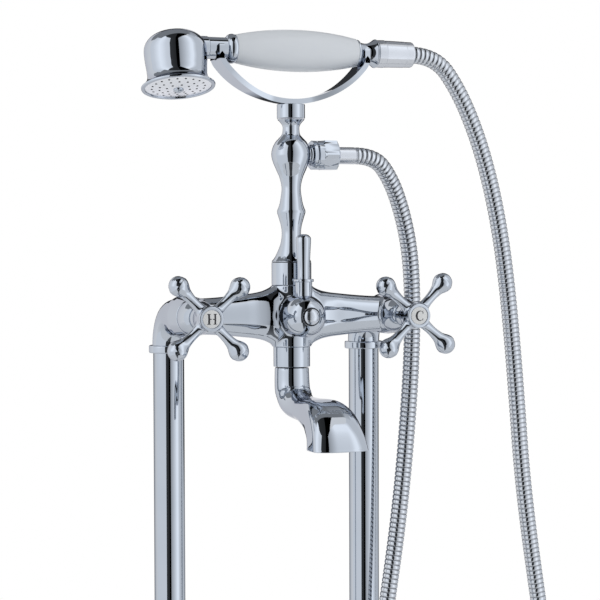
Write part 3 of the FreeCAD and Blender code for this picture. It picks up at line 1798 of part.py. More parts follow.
def spout_section(row, wall):
    """Wire of one spout section, drawn in by a wall thickness."""
    forward, drop, turn, half_width, half_depth = row
    centre = Vector(0, -SIZES["body_reach"] - forward, SIZES["axis_height"] - drop)
    angle = math.radians(turn)
    run = Vector(0, -math.sin(angle), -math.cos(angle))
    along_x = Vector(1, 0, 0)
    frame = FreeCAD.Matrix()
    depth = run.cross(along_x)
    frame.A11, frame.A21, frame.A31 = along_x.x, along_x.y, along_x.z
    frame.A12, frame.A22, frame.A32 = depth.x, depth.y, depth.z
    frame.A13, frame.A23, frame.A33 = run.x, run.y, run.z
    major = half_width - wall
    minor = min(half_depth - wall, major)
    ellipse = Part.Ellipse(Vector(), major, minor).toShape()
    wire = Part.Wire([ellipse])
    wire.Placement = Placement(centre, Rotation(frame))
    return wire


def make_spout():
    """Swan-necked swivel spout, its retaining ring, sealing rings and the nut it hangs in."""
    reach = SIZES["body_reach"]
    height = SIZES["axis_height"]
    wall = SIZES["spout_wall"]
    nut_foot = SIZES["axis_height"] - SIZES["barrel_drop"] - SIZES["swivel_nut_height"]
    neck_row = SPOUT_SECTIONS[0]
    top_drop = SIZES["barrel_drop"] + SIZES["swivel_nut_height"] + SIZES["running_gap"] * 2
    rows = ((neck_row[0], top_drop, 0.0, SIZES["spout_neck_radius"], SIZES["spout_neck_radius"]),) + SPOUT_SECTIONS[1:]
    skin = Part.makeLoft([spout_section(row, 0.0) for row in rows], True, False)
    crown_row = (neck_row[0], top_drop + wall) + rows[0][2:]
    hollow = Part.makeLoft([spout_section(row, wall) for row in (crown_row,) + rows[1:]], True, False)
    axis = Vector(0, -reach, 0)
    down = Vector(0, 0, 1)
    neck_top = height - top_drop
    lip_top = nut_foot + SIZES["swivel_lip"]
    spigot_top = height - SIZES["spigot_top"]
    spigot = Part.makeCylinder(SIZES["spigot_radius"], spigot_top - neck_top, axis + Vector(0, 0, neck_top), down)
    bore = Part.makeCylinder(
        SIZES["spigot_bore_radius"], spigot_top - neck_top + 4.0, axis + Vector(0, 0, neck_top - 4.0), down
    )
    shell = skin.cut(hollow).fuse(spigot).cut(bore)
    groove_radius = SIZES["spigot_radius"] - SIZES["oring_radius"]
    groove_floor = groove_radius - SIZES["oring_radius"] - SIZES["fit_gap"]
    groove_width = (SIZES["oring_radius"] + SIZES["fit_gap"]) * 2
    rings = []
    grooves = []
    for ring_place in (3.0, 7.0):
        centre = axis + Vector(0, 0, spigot_top - ring_place)
        rings.append(Part.makeTorus(groove_radius, SIZES["oring_radius"], centre, down))
        foot = centre - Vector(0, 0, groove_width / 2)
        around = Part.makeCylinder(SIZES["spigot_radius"] + 1.0, groove_width, foot, down)
        grooves.append(around.cut(Part.makeCylinder(groove_floor, groove_width, foot, down)))
    ring_low = lip_top + SIZES["fit_gap"]
    inner = SIZES["spigot_radius"] - 1.0
    ring_slot = Part.makeCylinder(
        SIZES["spigot_radius"] + 1.0, SIZES["spout_ring_height"], axis + Vector(0, 0, ring_low), down
    ).cut(Part.makeCylinder(inner, SIZES["spout_ring_height"], axis + Vector(0, 0, ring_low), down))
    shell = shell.cut(grooves + [ring_slot])
    set_shape("spout", shell)

    ring_stock = Part.makeCylinder(
        SIZES["spout_ring_radius"], SIZES["spout_ring_height"], axis + Vector(0, 0, ring_low), down
    )
    ring_hole = Part.makeCylinder(inner, SIZES["spout_ring_height"], axis + Vector(0, 0, ring_low), down)
    gap_width = 5.0
    ring_gap = Part.makeBox(
        gap_width, 20.0, SIZES["spout_ring_height"], axis + Vector(-gap_width / 2, 0, ring_low)
    )
    set_shape("spout_retaining_ring", ring_stock.cut(ring_hole).cut(ring_gap))
    set_shape("spout_sealing_rings", Part.makeCompound(rings))

    thread_foot = -size.barrel_drop - size.swivel_thread_length
    nut_low = -size.barrel_drop - size.swivel_nut_height
    nut_thread = size.swivel_thread_radius + size.fit_gap
    keep(
        turned(
            "swivel_nut",
            [
                (size.spigot_radius + size.fit_gap, nut_low),
                (size.swivel_nut_radius - 0.5, nut_low),
                (size.swivel_nut_radius, nut_low + 0.5),
                (size.swivel_nut_radius, -size.barrel_drop - 0.5),
                (size.swivel_nut_radius - 0.5, -size.barrel_drop),
                (nut_thread, -size.barrel_drop),
                (nut_thread, thread_foot - size.fit_gap),
                (size.spout_ring_radius + size.fit_gap, thread_foot - size.fit_gap),
                (size.spout_ring_radius + size.fit_gap, nut_low + size.swivel_lip),
                (size.spigot_radius + size.fit_gap, nut_low + size.swivel_lip),
            ],
            column_base(),
        ),
        "swivel_nut",
    )


def set_shape(label, shape):
    """Keeps a shape that is worked out from the sheet's values as a sub-part."""
    thing = document.addObject("Part::Feature", label)
    thing.Shape = shape
    return keep(thing, label)


class HosePath:
    """Straight runs joined by tangent arcs, measured along their length."""

    def __init__(self, points):
        self.points = [Vector(*point) for point in points]
        self.edges = []
        self.radii = []
        start = self.points[0]
        for before, corner, after in zip(self.points, self.points[1:], self.points[2:]):
            back = (before - corner).normalize()
            ahead = (after - corner).normalize()
            half_turn = (math.pi - back.getAngle(ahead)) / 2
            shorter = min((corner - before).Length, (after - corner).Length)
            radius = ARC_SHARE * shorter / math.tan(half_turn)
            self.radii.append(radius)
            reach = ARC_SHARE * shorter
            arc_start = corner + back * reach
            arc_end = corner + ahead * reach
            bisector = (back + ahead).normalize()
            middle = corner + bisector * (radius / math.cos(half_turn) - radius)
            self.edges.append(Part.LineSegment(start, arc_start).toShape())
            self.edges.append(Part.Arc(arc_start, middle, arc_end).toShape())
            start = arc_end
        self.edges.append(Part.LineSegment(start, self.points[-1]).toShape())
        self.length = sum(edge.Length for edge in self.edges)

    def station(self, distance):
        """Returns the point and direction at a distance from the start."""
        left = min(max(distance, 0.0), self.length)
        for edge in self.edges:
            if left <= edge.Length:
                break
            left -= edge.Length
        left = min(left, edge.Length)
        parameter = edge.getParameterByLength(left)
        return edge.valueAt(parameter), edge.tangentAt(parameter).normalize()


def circle_at(point, direction, radius):
    """Circle square to a direction, whose own X axis stays near the object's Y axis."""
    steady = Vector(0, 1, 0)
    across = (steady - direction * steady.dot(direction)).normalize()
    circle = Part.Circle(Vector(), Vector(0, 0, 1), radius).toShape()
    frame = FreeCAD.Matrix()
    up = direction.cross(across)
    frame.A11, frame.A21, frame.A31 = across.x, across.y, across.z
    frame.A12, frame.A22, frame.A32 = up.x, up.y, up.z
    frame.A13, frame.A23, frame.A33 = direction.x, direction.y, direction.z
    wire = Part.Wire([circle])
    wire.Placement = Placement(point, Rotation(frame))
    return wire


def make_hose():
    """Ribbed metal hose: a ruled loft over its ribs outside, and a smooth bore inside."""
    path = HosePath(HOSE_ROUTE)
    radius_of = {"root": SIZES["hose_root_radius"], "crest": SIZES["hose_crest_radius"]}
    lead = SIZES["hose_crest_radius"] * 2
    pitch = (path.length - 2 * lead) / HOSE_RIBS
    stations = [(0.0, "root")]
    for rib in range(HOSE_RIBS):
        stations += [(lead + pitch * (rib + share), level) for share, level in RIB_STATIONS]
    stations.append((path.length, "root"))
    rings = [circle_at(*path.station(distance), radius_of[level]) for distance, level in stations]
    skin = Part.makeLoft(rings, False, True)
    inner_ring = circle_at(*path.station(0.0), SIZES["hose_bore_radius"])
    bore = Part.Wire(path.edges).makePipeShell([inner_ring], False, False)
    ends = []
    for ring, distance in ((rings[0], 0.0), (rings[-1], path.length)):
        hole = circle_at(*path.station(distance), SIZES["hose_bore_radius"])
        ends += Part.Face(ring).cut(Part.Face(hole)).Faces
    surface = Part.makeCompound(skin.Faces + bore.Faces + ends)
    surface.sewShape()
    solid = Part.Solid(surface.Shells[0])
    solid.fix(1e-6, 1e-6, 1e-4)
    set_shape("shower_hose", solid)
    section = math.pi * (SIZES["hose_root_radius"] ** 2 - SIZES["hose_bore_radius"] ** 2)
    crest_section = math.pi * (SIZES["hose_crest_radius"] ** 2 - SIZES["hose_bore_radius"] ** 2)
    print(f"hose length {path.length:.1f} mm, arc radii", " ".join(f"{radius:.0f}" for radius in path.radii))
    print(f"hose volume {solid.Volume:.0f}, between {section * path.length:.0f} and {crest_section * path.length:.0f}")


def faults():
    """Lists every failed object and every sub-part whose shape is missing or invalid."""
    found = []
    for thing in document.Objects:
        if "Invalid" in thing.State or "Error" in thing.State:
            found.append(f"{thing.Label}: {thing.State}")
    for thing in sub_parts:
        shape = thing.Shape
        if shape.isNull() or not shape.isValid() or not shape.Solids:
            found.append(f"{thing.Label}: no valid solid")
    return found


def write_parts():
    """Writes each sub-part to its own file."""
    os.makedirs(OUT_FOLDER, exist_ok=True)
    for thing in sub_parts:
        thing.Shape.exportStep(f"{OUT_FOLDER}/{thing.Label}.step")


def build():
    """Builds every sub-assembly, checks the document and writes the parts."""
    fill_sheet()
    riser_fittings = []
    for word, side in SIDES:
        make_floor_flange(f"floor_flange_{word}", side)
        riser_fittings.append(make_riser(word, side))
        make_elbow(word, side)
    for label, pieces in zip(("inlet_bushes", "riser_collars"), zip(*riser_fittings)):
        keep(group_of(label, list(pieces)), label)
    make_grub_screws()
    make_riser_rings()
    make_mixer_body()
    seals = []
    for word, side in VALVES:
        seals.append(make_cartridge(word, side))
        make_cross_handle(word, side)
    keep(group_of("seat_seals", seals), "seat_seals")
    make_diverter()
    make_column()
    make_hose_outlet()
    make_cradle()
    make_spray_head()
    make_handset_grip()
    make_spout()
    make_hose()
    document.recompute()
    found = faults()
    if found:
        raise RuntimeError("the model has faults: " + "; ".join(found))
    write_parts()
    print(f"{len(sub_parts)} sub-parts written")


build()
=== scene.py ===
"""Looks of a floor standing bath filler: pipes, bridge body, swivel spout and a handset on a ribbed hose.

Lengths are millimetres in every class and become metres where a mesh is made. X is to the right, Z is up, and
"forwards" is towards -Y, measured from the plane of the two floor pipes.
"""

from __future__ import annotations

import json
import logging
import math
from collections.abc import Callable, Sequence
from dataclasses import dataclass, field, replace
from enum import Enum

import bpy
import numpy as np
from mathutils import Matrix, Vector

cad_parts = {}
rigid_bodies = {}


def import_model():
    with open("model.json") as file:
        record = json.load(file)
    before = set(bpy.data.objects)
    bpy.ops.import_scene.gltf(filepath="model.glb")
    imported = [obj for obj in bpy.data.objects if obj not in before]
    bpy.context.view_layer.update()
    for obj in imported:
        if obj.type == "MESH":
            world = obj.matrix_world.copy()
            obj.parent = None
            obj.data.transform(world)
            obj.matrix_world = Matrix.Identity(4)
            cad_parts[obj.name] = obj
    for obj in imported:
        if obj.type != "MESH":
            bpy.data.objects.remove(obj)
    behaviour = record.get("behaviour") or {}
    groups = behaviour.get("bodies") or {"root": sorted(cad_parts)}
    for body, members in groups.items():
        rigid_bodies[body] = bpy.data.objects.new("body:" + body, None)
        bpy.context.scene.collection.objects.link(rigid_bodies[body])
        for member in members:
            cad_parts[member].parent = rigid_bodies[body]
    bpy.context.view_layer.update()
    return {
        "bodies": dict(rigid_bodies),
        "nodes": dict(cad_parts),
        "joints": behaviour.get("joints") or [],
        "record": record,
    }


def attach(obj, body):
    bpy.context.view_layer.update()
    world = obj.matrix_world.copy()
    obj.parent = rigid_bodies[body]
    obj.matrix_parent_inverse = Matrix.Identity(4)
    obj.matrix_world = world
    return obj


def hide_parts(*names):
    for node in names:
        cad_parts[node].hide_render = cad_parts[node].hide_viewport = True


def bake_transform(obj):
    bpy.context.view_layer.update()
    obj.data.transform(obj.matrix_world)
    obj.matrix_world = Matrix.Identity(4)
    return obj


log = logging.getLogger("bath_filler")

MM = 0.001
TAU = math.tau
Triple = tuple[float, float, float]
Pair = tuple[float, float]
Waves = tuple[tuple[float, ...], ...]  # waves per metre, finer layers and their strength, for each noise
Value = bpy.types.NodeSocket | bpy.types.Material | tuple[float, ...] | float | str

AXIS_HEIGHT = 870.0
BODY_REACH = 50.0
RISER_X = 75.0
HANDSET_HEIGHT = 1054.5

FORWARDS: Triple = (0.0, -1.0, 0.0)
UPWARDS: Triple = (0.0, 0.0, 1.0)
RIGHTWARDS: Triple = (1.0, 0.0, 0.0)


# this value also drives the painted shade that darkens the hose's grooves
GROOVE = "groove"  # the value from 0 on a rib to 1 in a groove that the hose's mesh carries
LIT_PLACE = Vector((0, -BODY_REACH, AXIS_HEIGHT)) * MM  # what the lamps face


class Body(Enum):
    """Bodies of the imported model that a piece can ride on."""

    STAND = "stand"
    HOT_VALVE = "hot_valve"
    COLD_VALVE = "cold_valve"
    DIVERTER = "diverter"
    SPOUT = "swivel_spout"
    HANDSET = "handset"


class Mark(Enum):
    """Index marks on the handle buttons."""

    HOT = "H"
    COLD = "C"


# ---------------------------------------------------------------------------------------------------- shapes


def placed(name: str, data: bpy.types.ID) -> bpy.types.Object:
    """Makes an object of some data and puts it in the scene.

    Args:
        name: Its name.
        data: Its mesh, curve, lamp or camera.

    Returns:
        The object.
    """
    made = bpy.data.objects.new(name, data)
    bpy.context.scene.collection.objects.link(made)
    return made


def smooth_through(points: Sequence[Sequence[float]], steps: int = 8) -> np.ndarray:
    """Draws a smooth curve through points.

    Args:
        points: The points to pass through, each of the same number of values.
        steps: How many pieces each stretch between two points is divided into.

    Returns:
        The points of the curve, one per row, with both ends.
    """
    given = np.array(points, float)
    reach = np.concatenate([[0], np.cumsum(np.maximum(np.linalg.norm(np.diff(given, axis=0), axis=1), 1e-6))])
    slopes = np.diff(given, axis=0) / np.diff(reach)[:, None]
    tangents = np.empty_like(given)
    before, after = np.diff(reach)[:-1, None], np.diff(reach)[1:, None]
    tangents[1:-1] = (slopes[:-1] * after + slopes[1:] * before) / (before + after)
    tangents[0] = 1.5 * slopes[0] - 0.5 * tangents[1]
    tangents[-1] = 1.5 * slopes[-1] - 0.5 * tangents[-2]
    rows = [given[:1]]
    for index in range(len(given) - 1):
        t = np.linspace(0, 1, steps + 1)[1:, None]
        length = reach[index + 1] - reach[index]
        rows.append(
            (2 * t**3 - 3 * t**2 + 1) * given[index]
            + (t**3 - 2 * t**2 + t) * length * tangents[index]
            + (-2 * t**3 + 3 * t**2) * given[index + 1]
            + (t**3 - t**2) * length * tangents[index + 1]
        )
    return np.concatenate(rows)


def table_of(points: Sequence[Pair], at: np.ndarray) -> np.ndarray:
    """Reads a smooth table of (place, value) rows.

    Args:
        points: The rows, with rising places.
        at: The places to read.

    Returns:
        The value at each place, held level beyond both ends.
    """
    curve = smooth_through(points, 12)
    return np.interp(at, curve[:, 0], curve[:, 1])


def soft_least(first: np.ndarray, second: np.ndarray, blend: float) -> np.ndarray:
    """Joins two distance fields with a fillet about as large as the blend."""
    share = np.clip(0.5 + 0.5 * (second - first) / blend, 0, 1)
    return second + (first - second) * share - blend * share * (1 - share)


def soft_most(first: np.ndarray, second: np.ndarray, blend: float) -> np.ndarray:
    """Cuts one distance field by another with a rounded edge."""
    return -soft_least(-first, -second, blend)


@dataclass
class Outline:
    """Half section of a turned piece as (along the axis, radius) corners."""

    corners: list[Triple] = field(default_factory=list)

    def to(self, *points: Pair, soft: float = 0.3) -> Outline:
        """Adds corners.

        Args:
            points: The corners, as (along, radius).
            soft: How far each corner is rounded.

        Returns:
            The same outline.
        """
        self.corners += [(along, radius, soft) for along, radius in points]
        return self

    def bow(self, middle: Pair, end: Pair, steps: int = 20) -> Outline:
        """Adds an arc from the last corner.

        Args:
            middle: A point on the arc.
            end: Where it ends.
            steps: How many straight pieces draw it.

        Returns:
            The same outline.
        """
        (ax, ay, _), (bx, by), (cx, cy) = self.corners[-1], middle, end
        twice = 2 * (ax * (by - cy) + bx * (cy - ay) + cx * (ay - by))
        a, b, c = ax * ax + ay * ay, bx * bx + by * by, cx * cx + cy * cy
        x = (a * (by - cy) + b * (cy - ay) + c * (ay - by)) / twice
        y = (a * (cx - bx) + b * (ax - cx) + c * (bx - ax)) / twice
        radius, start = math.hypot(ax - x, ay - y), math.atan2(ay - y, ax - x)
        to_middle = (math.atan2(by - y, bx - x) - start) % TAU
        to_end = (math.atan2(cy - y, cx - x) - start) % TAU
        sweep = to_end if to_middle < to_end else to_end - TAU
        for step in range(1, steps + 1):
            angle = start + sweep * step / steps
            self.corners.append((x + radius * math.cos(angle), max(y + radius * math.sin(angle), 0.0), 0.0))
        return self

    def swell(self, *through: Pair, steps: int = 8) -> Outline:
        """Adds a smooth run from the last corner.

        Args:
            through: The points that it passes through.
            steps: How many pieces each stretch has.

        Returns:
            The same outline.
        """
        run = smooth_through([self.corners[-1][:2], *through], steps)
        self.corners += [(along, max(radius, 0.0), 0.0) for along, radius in run[1:].tolist()]
        return self

    def line(self) -> np.ndarray:
        """Gives the outline as points, its corners rounded and each held by a row close beside it.

        Returns:
            The points, one (along, radius) row each.
        """
        rows: list[np.ndarray] = []
        last = len(self.corners) - 1
        for index, (along, radius, soft) in enumerate(self.corners):
            corner = np.array((along, radius))
            if soft <= 0 or index in (0, last):
                rows.append(corner)
                continue
            back = np.array(self.corners[index - 1][:2]) - corner
            ahead = np.array(self.corners[index + 1][:2]) - corner
            back_length, ahead_length = float(np.linalg.norm(back)), float(np.linalg.norm(ahead))
            cut = min(soft, 0.4 * back_length, 0.4 * ahead_length)
            back, ahead = back / max(back_length, 1e-9), ahead / max(ahead_length, 1e-9)
            rows.append(corner + back * (cut + min(0.12, 0.08 * back_length)))
            for t in (0.0, 0.2, 0.4, 0.6, 0.8, 1.0):
                rows.append(corner + back * cut * (1 - t) ** 2 + ahead * cut * t**2)
            rows.append(corner + ahead * (cut + min(0.12, 0.08 * ahead_length)))
        return np.array(rows)


@dataclass
class Shell:
    """Points in millimetres and the faces between them."""

    points: np.ndarray
    faces: list[tuple[int, ...]]

    @classmethod
    def turned(
        cls,
        outline: Outline,
        origin: Triple,
        axis: Triple,
        segments: int = 96,
        ring: bool = False,
    ) -> Shell:
        """Turns an outline about an axis.

        Args:
            outline: The half section.
            origin: Where the axis has its zero.
            axis: The direction of the axis.
            segments: How many facets go round.
            ring: Whether the outline closes on itself, for a piece with a hole through it.

        Returns:
            The turned skin, facing outwards.
        """
        way = np.array(axis, float) / np.linalg.norm(axis)
        side = np.cross(way, (0.0, 0.0, 1.0) if abs(way[2]) < 0.9 else (1.0, 0.0, 0.0))
        side /= np.linalg.norm(side)
        other = np.cross(way, side)
        angles = np.arange(segments) * TAU / segments
        circle = np.cos(angles)[:, None] * side + np.sin(angles)[:, None] * other
        points: list[np.ndarray] = []
        rows: list[list[int]] = []
        for along, radius in outline.line():
            centre = np.array(origin) + along * way
            first = len(points)
            points += [centre] if radius < 1e-3 else list(centre + radius * circle)
            rows.append(list(range(first, len(points))))
        faces: list[tuple[int, ...]] = []
        for low, high in zip(rows, rows[1:] + (rows[:1] if ring else [])):
            if len(low) == 1 and len(high) == 1:
                continue
            for here in range(segments):
                there = (here + 1) % segments
                if len(low) == 1:
                    faces.append((low[0], high[there], high[here]))
                elif len(high) == 1:
                    faces.append((low[here], low[there], high[0]))
                else:
                    faces.append((low[here], low[there], high[there], high[here]))
        return cls(np.array(points), faces)

    @classmethod
    def lofted(cls, rings: np.ndarray) -> Shell:
        """Joins closed rings of points, each turning anticlockwise about the way that they follow.

        Args:
            rings: The rings, as an array of ring, point and coordinate.

        Returns:
            The skin, facing outwards, both its ends closed by a fan.
        """
        count, across = rings.shape[:2]
        points = np.concatenate([rings.reshape(-1, 3), [rings[0].mean(0), rings[-1].mean(0)]])
        start, finish, top = len(points) - 2, len(points) - 1, (count - 1) * across
        faces: list[tuple[int, ...]] = []
        for low in range(0, top, across):
            high = low + across
            for here in range(across):
                there = (here + 1) % across
                faces.append((low + here, low + there, high + there, high + here))
        for here in range(across):
            there = (here + 1) % across
            faces += [(start, there, here), (top + here, top + there, finish)]
        return cls(points, faces)

    @classmethod
    def joined(cls, parts: Sequence[Shell]) -> Shell:
        """Puts several skins in one mesh."""
        return parts[0].and_also(*parts[1:])

    def and_also(self, *others: Shell) -> Shell:
        """Puts other skins in the same mesh.

        Args:
            others: The skins to add.

        Returns:
            One skin with all of them.
        """
        points, faces = [self.points], list(self.faces)
        total = len(self.points)
        for other in others:
            points.append(other.points)
            faces += [tuple(corner + total for corner in face) for face in other.faces]
            total += len(other.points)
        return Shell(np.concatenate(points), faces)

    def piece(self, name: str, crease: float | None = None) -> bpy.types.Object:
        """Makes the object of this skin.

        Args:
            name: Its name.
            crease: The angle in degrees above which an edge is sharp, or None for a wholly smooth piece.

        Returns:
            The object, at the origin and in metres.
        """
        mesh = bpy.data.meshes.new(name)
        mesh.from_pydata((self.points * MM).tolist(), [], self.faces)
        mesh.shade_smooth()
        if crease is not None:
            mesh.set_sharp_from_angle(angle=math.radians(crease))
        mesh.update()
        return placed(name, mesh)


def settled(piece: bpy.types.Object, name: str) -> bpy.types.Object:
    """Turns an object with modifiers into a plain mesh.

    Args:
        piece: The object, which is removed.
        name: The name of the new one.

    Returns:
        The new object, with no modifier.
    """
    bpy.context.view_layer.update()
    graph = bpy.context.evaluated_depsgraph_get()
    mesh = bpy.data.meshes.new_from_object(piece.evaluated_get(graph), depsgraph=graph)
    bpy.data.objects.remove(piece)
    mesh.name = name
    return placed(name, mesh)


@dataclass
class Casting:
    """A cast form whose parts flow into each other: its skin lies where a blended distance is zero."""

    name: str
    distance: Callable[[np.ndarray], np.ndarray]
    cores: Shell
    voxel: float = 0.55
    rounds: int = 3

    def slope(self, points: np.ndarray) -> np.ndarray:
        """Gives the gradient of the distance at points.

        Args:
            points: The points.

        Returns:
            The gradients, one per row.
        """
        rows = []
        for axis in range(3):
            step = np.zeros(3)
            step[axis] = 0.03
            rows.append((self.distance(points + step) - self.distance(points - step)) / 0.06)
        return np.stack(rows, axis=1)

    def settle(self, points: np.ndarray, steps: int) -> np.ndarray:
        """Moves points onto the skin.

        Args:
            points: The points to move.
            steps: How many times each is moved.

        Returns:
            The moved points.
        """
        for _ in range(steps):
            slope = self.slope(points)
            square = np.maximum((slope * slope).sum(1), 0.2)
            points = points - np.clip(self.distance(points) / square, -1.5, 1.5)[:, None] * slope
        return points

    def piece(self) -> bpy.types.Object:
        """Makes the object: a voxel skin over the rough cores, drawn onto the blended form and evened out.

        Returns:
            The object, with its normals taken from the form.
        """
        rough = self.cores.piece(f"{self.name}_rough")
        remesh = rough.modifiers.new("skin", "REMESH")
        remesh.mode = "VOXEL"
        remesh.voxel_size = self.voxel * MM
        made = settled(rough, self.name)
        mesh = made.data
        count = len(mesh.vertices)
        flat = np.empty(count * 3)
        mesh.vertices.foreach_get("co", flat)
        points = self.settle(flat.reshape(-1, 3) / MM, 6)
        edges = np.empty(len(mesh.edges) * 2, np.int64)
        mesh.edges.foreach_get("vertices", edges)
        edges = edges.reshape(-1, 2)
        valence = np.bincount(edges.ravel(), minlength=count)[:, None]
        for _ in range(self.rounds):
            total = np.zeros_like(points)
            for axis in range(3):
                total[:, axis] += np.bincount(edges[:, 0], weights=points[edges[:, 1], axis], minlength=count)
                total[:, axis] += np.bincount(edges[:, 1], weights=points[edges[:, 0], axis], minlength=count)
            points = self.settle(0.4 * points + 0.6 * total / valence, 2)
        mesh.vertices.foreach_set("co", (points * MM).ravel())
        mesh.shade_smooth()
        mesh.update()
        slope = self.slope(points)
        slope /= np.maximum(np.linalg.norm(slope, axis=1), 1e-6)[:, None]
        mesh.normals_split_custom_set_from_vertices(slope.tolist())
        return made


# -------------------------------------------------------------------------------------------------- finishes


class Graph:
    """Adds nodes to a tree, each with its properties and its inputs in one call."""

    def __init__(self, tree: bpy.types.NodeTree) -> None:
        """Starts on a tree.

        Args:
            tree: The tree, whose own nodes go.
        """
        self.tree = tree
        tree.nodes.clear()

    def node(
        self, kind: str, inputs: dict[str | int, Value] | None = None, **settings: str
    ) -> bpy.types.Node:
        """Adds a node.

        Args:
            kind: Its type.
            inputs: What each input is linked to or set to.
            settings: Its properties.

        Returns:
            The node.
        """
        node = self.tree.nodes.new(kind)
        for name, value in settings.items():
            setattr(node, name, value)
        for key, value in (inputs or {}).items():
            if isinstance(value, bpy.types.NodeSocket):
                self.tree.links.new(value, node.inputs[key])
            else:
                node.inputs[key].default_value = value
        return node

    def out(
        self, kind: str, inputs: dict[str | int, Value], output: int = 0, **settings: str
    ) -> bpy.types.NodeSocket:
        """Adds a node and gives one of its outputs."""
        return self.node(kind, inputs, **settings).outputs[output]

    def maths(self, operation: str, first: Value, second: Value = 0.0) -> bpy.types.NodeSocket:
        """Adds one step of arithmetic."""
        return self.out("ShaderNodeMath", {0: first, 1: second}, operation=operation)

    def seen(self) -> tuple[bpy.types.NodeSocket, bpy.types.NodeSocket]:
        """Tells apart the rays that the studio answers differently.

        Returns:
            What is 1 for a ray straight from the camera or by way of metal, and 1 for one through something.
        """
        rays = self.node("ShaderNodeLightPath").outputs
        straight = self.maths("MAXIMUM", rays["Is Camera Ray"], rays["Is Glossy Ray"])
        return straight, rays["Is Transmission Ray"]


def bare_material(name: str) -> tuple[bpy.types.Material, Graph]:
    """Starts a material that has no nodes.

    Args:
        name: Its name.

    Returns:
        The material and the graph of its nodes.
    """
    material = bpy.data.materials.new(name)
    material.use_nodes = True
    return material, Graph(material.node_tree)


class ShapeTree(Graph):
    """Builds a geometry node tree whose last input is the finish of what it makes."""

    def __init__(self, name: str, **sockets: str) -> None:
        """Starts the tree.

        Args:
            name: Its name.
            sockets: The type of each input between the geometry and the finish, its name with _ for a space.
        """
        super().__init__(bpy.data.node_groups.new(name, "GeometryNodeTree"))
        face = self.tree.interface
        for label, kind in {"Geometry": "Geometry", **sockets, "Finish": "Material"}.items():
            face.new_socket(label.replace("_", " "), in_out="INPUT", socket_type=f"NodeSocket{kind}")
        face.new_socket("Geometry", in_out="OUTPUT", socket_type="NodeSocketGeometry")
        self.given = self.node("NodeGroupInput").outputs

    def close(self, made: bpy.types.NodeSocket) -> None:
        """Makes real what the tree made, finishes it and gives it out.

        Args:
            made: What the tree made.
        """
        real = self.out("GeometryNodeRealizeInstances", {"Geometry": made})
        done = self.out("GeometryNodeSetMaterial", {"Geometry": real, "Material": self.given["Finish"]})
        self.node("NodeGroupOutput", {"Geometry": done})

    def work_on(self, piece: bpy.types.Object, **values: Value) -> None:
        """Gives the tree to an object.

        Args:
            piece: The object.
            values: What its inputs are, their names with _ for a space.
        """
        modifier = piece.modifiers.new("nodes", "NODES")
        modifier.node_group = self.tree
        for item in self.tree.interface.items_tree:
            if item.in_out == "INPUT" and item.name != "Geometry":
                modifier[item.identifier] = values[item.name.replace(" ", "_")]


class Recipe(Graph):
    """Builds one material's nodes."""

    def __init__(self, name: str) -> None:
        """Starts a material with a surface shader.

        Args:
            name: The material's name.
        """
        self.material = bpy.data.materials.new(name)
        self.material.use_nodes = True
        super().__init__(self.material.node_tree)
        self.surface = self.node("ShaderNodeBsdfPrincipled")
        self.node("ShaderNodeOutputMaterial", {"Surface": self.surface.outputs[0]})
        self.place = self.node("ShaderNodeTexCoord").outputs["Object"]

    def noise(self, scale: float, detail: float = 2.0, roughness: float = 0.5) -> bpy.types.NodeSocket:
        """Adds noise in the object's own space.

        Args:
            scale: Its waves per metre.
            detail: How many finer layers it has.
            roughness: How strong those are.

        Returns:
            The noise value.
        """
        settings = {"Vector": self.place, "Scale": scale, "Detail": detail, "Roughness": roughness}
        return self.out("ShaderNodeTexNoise", settings)

    def span(
        self, value: bpy.types.NodeSocket, low: float, high: float, source: Pair = (0.3, 0.7)
    ) -> bpy.types.NodeSocket:
        """Spreads a value over a range.

        Args:
            value: The value.
            low: What the source's first value becomes.
            high: What the source's second value becomes.
            source: The two values, at first those that noise lies between.

        Returns:
            The spread value.
        """
        ends = {"From Min": source[0], "From Max": source[1], "To Min": low, "To Max": high}
        return self.out("ShaderNodeMapRange", {"Value": value, **ends})

    def tint(self, value: bpy.types.NodeSocket, first: Triple, second: Triple) -> bpy.types.NodeSocket:
        """Mixes two colours.

        Args:
            value: The share of the second one.
            first: The colour at 0.
            second: The colour at 1.

        Returns:
            The mixed colour.
        """
        share, one, other = 0, 6, 7
        colours = {share: value, one: (*first, 1), other: (*second, 1)}
        return self.out("ShaderNodeMix", colours, output=2, data_type="RGBA")

    def relief(self, height: bpy.types.NodeSocket, depth: float) -> None:
        """Adds a bump.

        Args:
            height: Its height from 0 to 1.
            depth: The depth of that in millimetres.
        """
        bump = {"Height": height, "Strength": 1.0, "Distance": depth * MM}
        self.feed("Normal", self.out("ShaderNodeBump", bump))

    def uneven(
        self, colour: Triple, shade: Triple, gloss: Pair, depth: float, waves: Waves
    ) -> bpy.types.Material:
        """Gives the surface a cloudy tint, an uneven gloss and a fine relief.

        Args:
            colour: Its colour.
            shade: The colour of its clouds.
            gloss: Its least and its greatest roughness.
            depth: The depth of its relief in millimetres.
            waves: The noise of the tint, of the gloss and of the relief.

        Returns:
            The material.
        """
        clouds, dullness, height = (self.noise(*wave) for wave in waves)
        self.feed("Base Color", self.tint(self.span(clouds, 0.0, 1.0), colour, shade))
        self.feed("Roughness", self.span(dullness, *gloss))
        self.relief(height, depth)
        return self.material

    def feed(self, socket: str, value: bpy.types.NodeSocket) -> None:
        """Links a value to the surface shader."""
        self.tree.links.new(value, self.surface.inputs[socket])

    def level(self, **values: float | tuple[float, ...]) -> None:
        """Sets plain values on the surface shader, its socket names with _ for a space."""
        for name, value in values.items():
            self.surface.inputs[name.replace("_", " ")].default_value = value


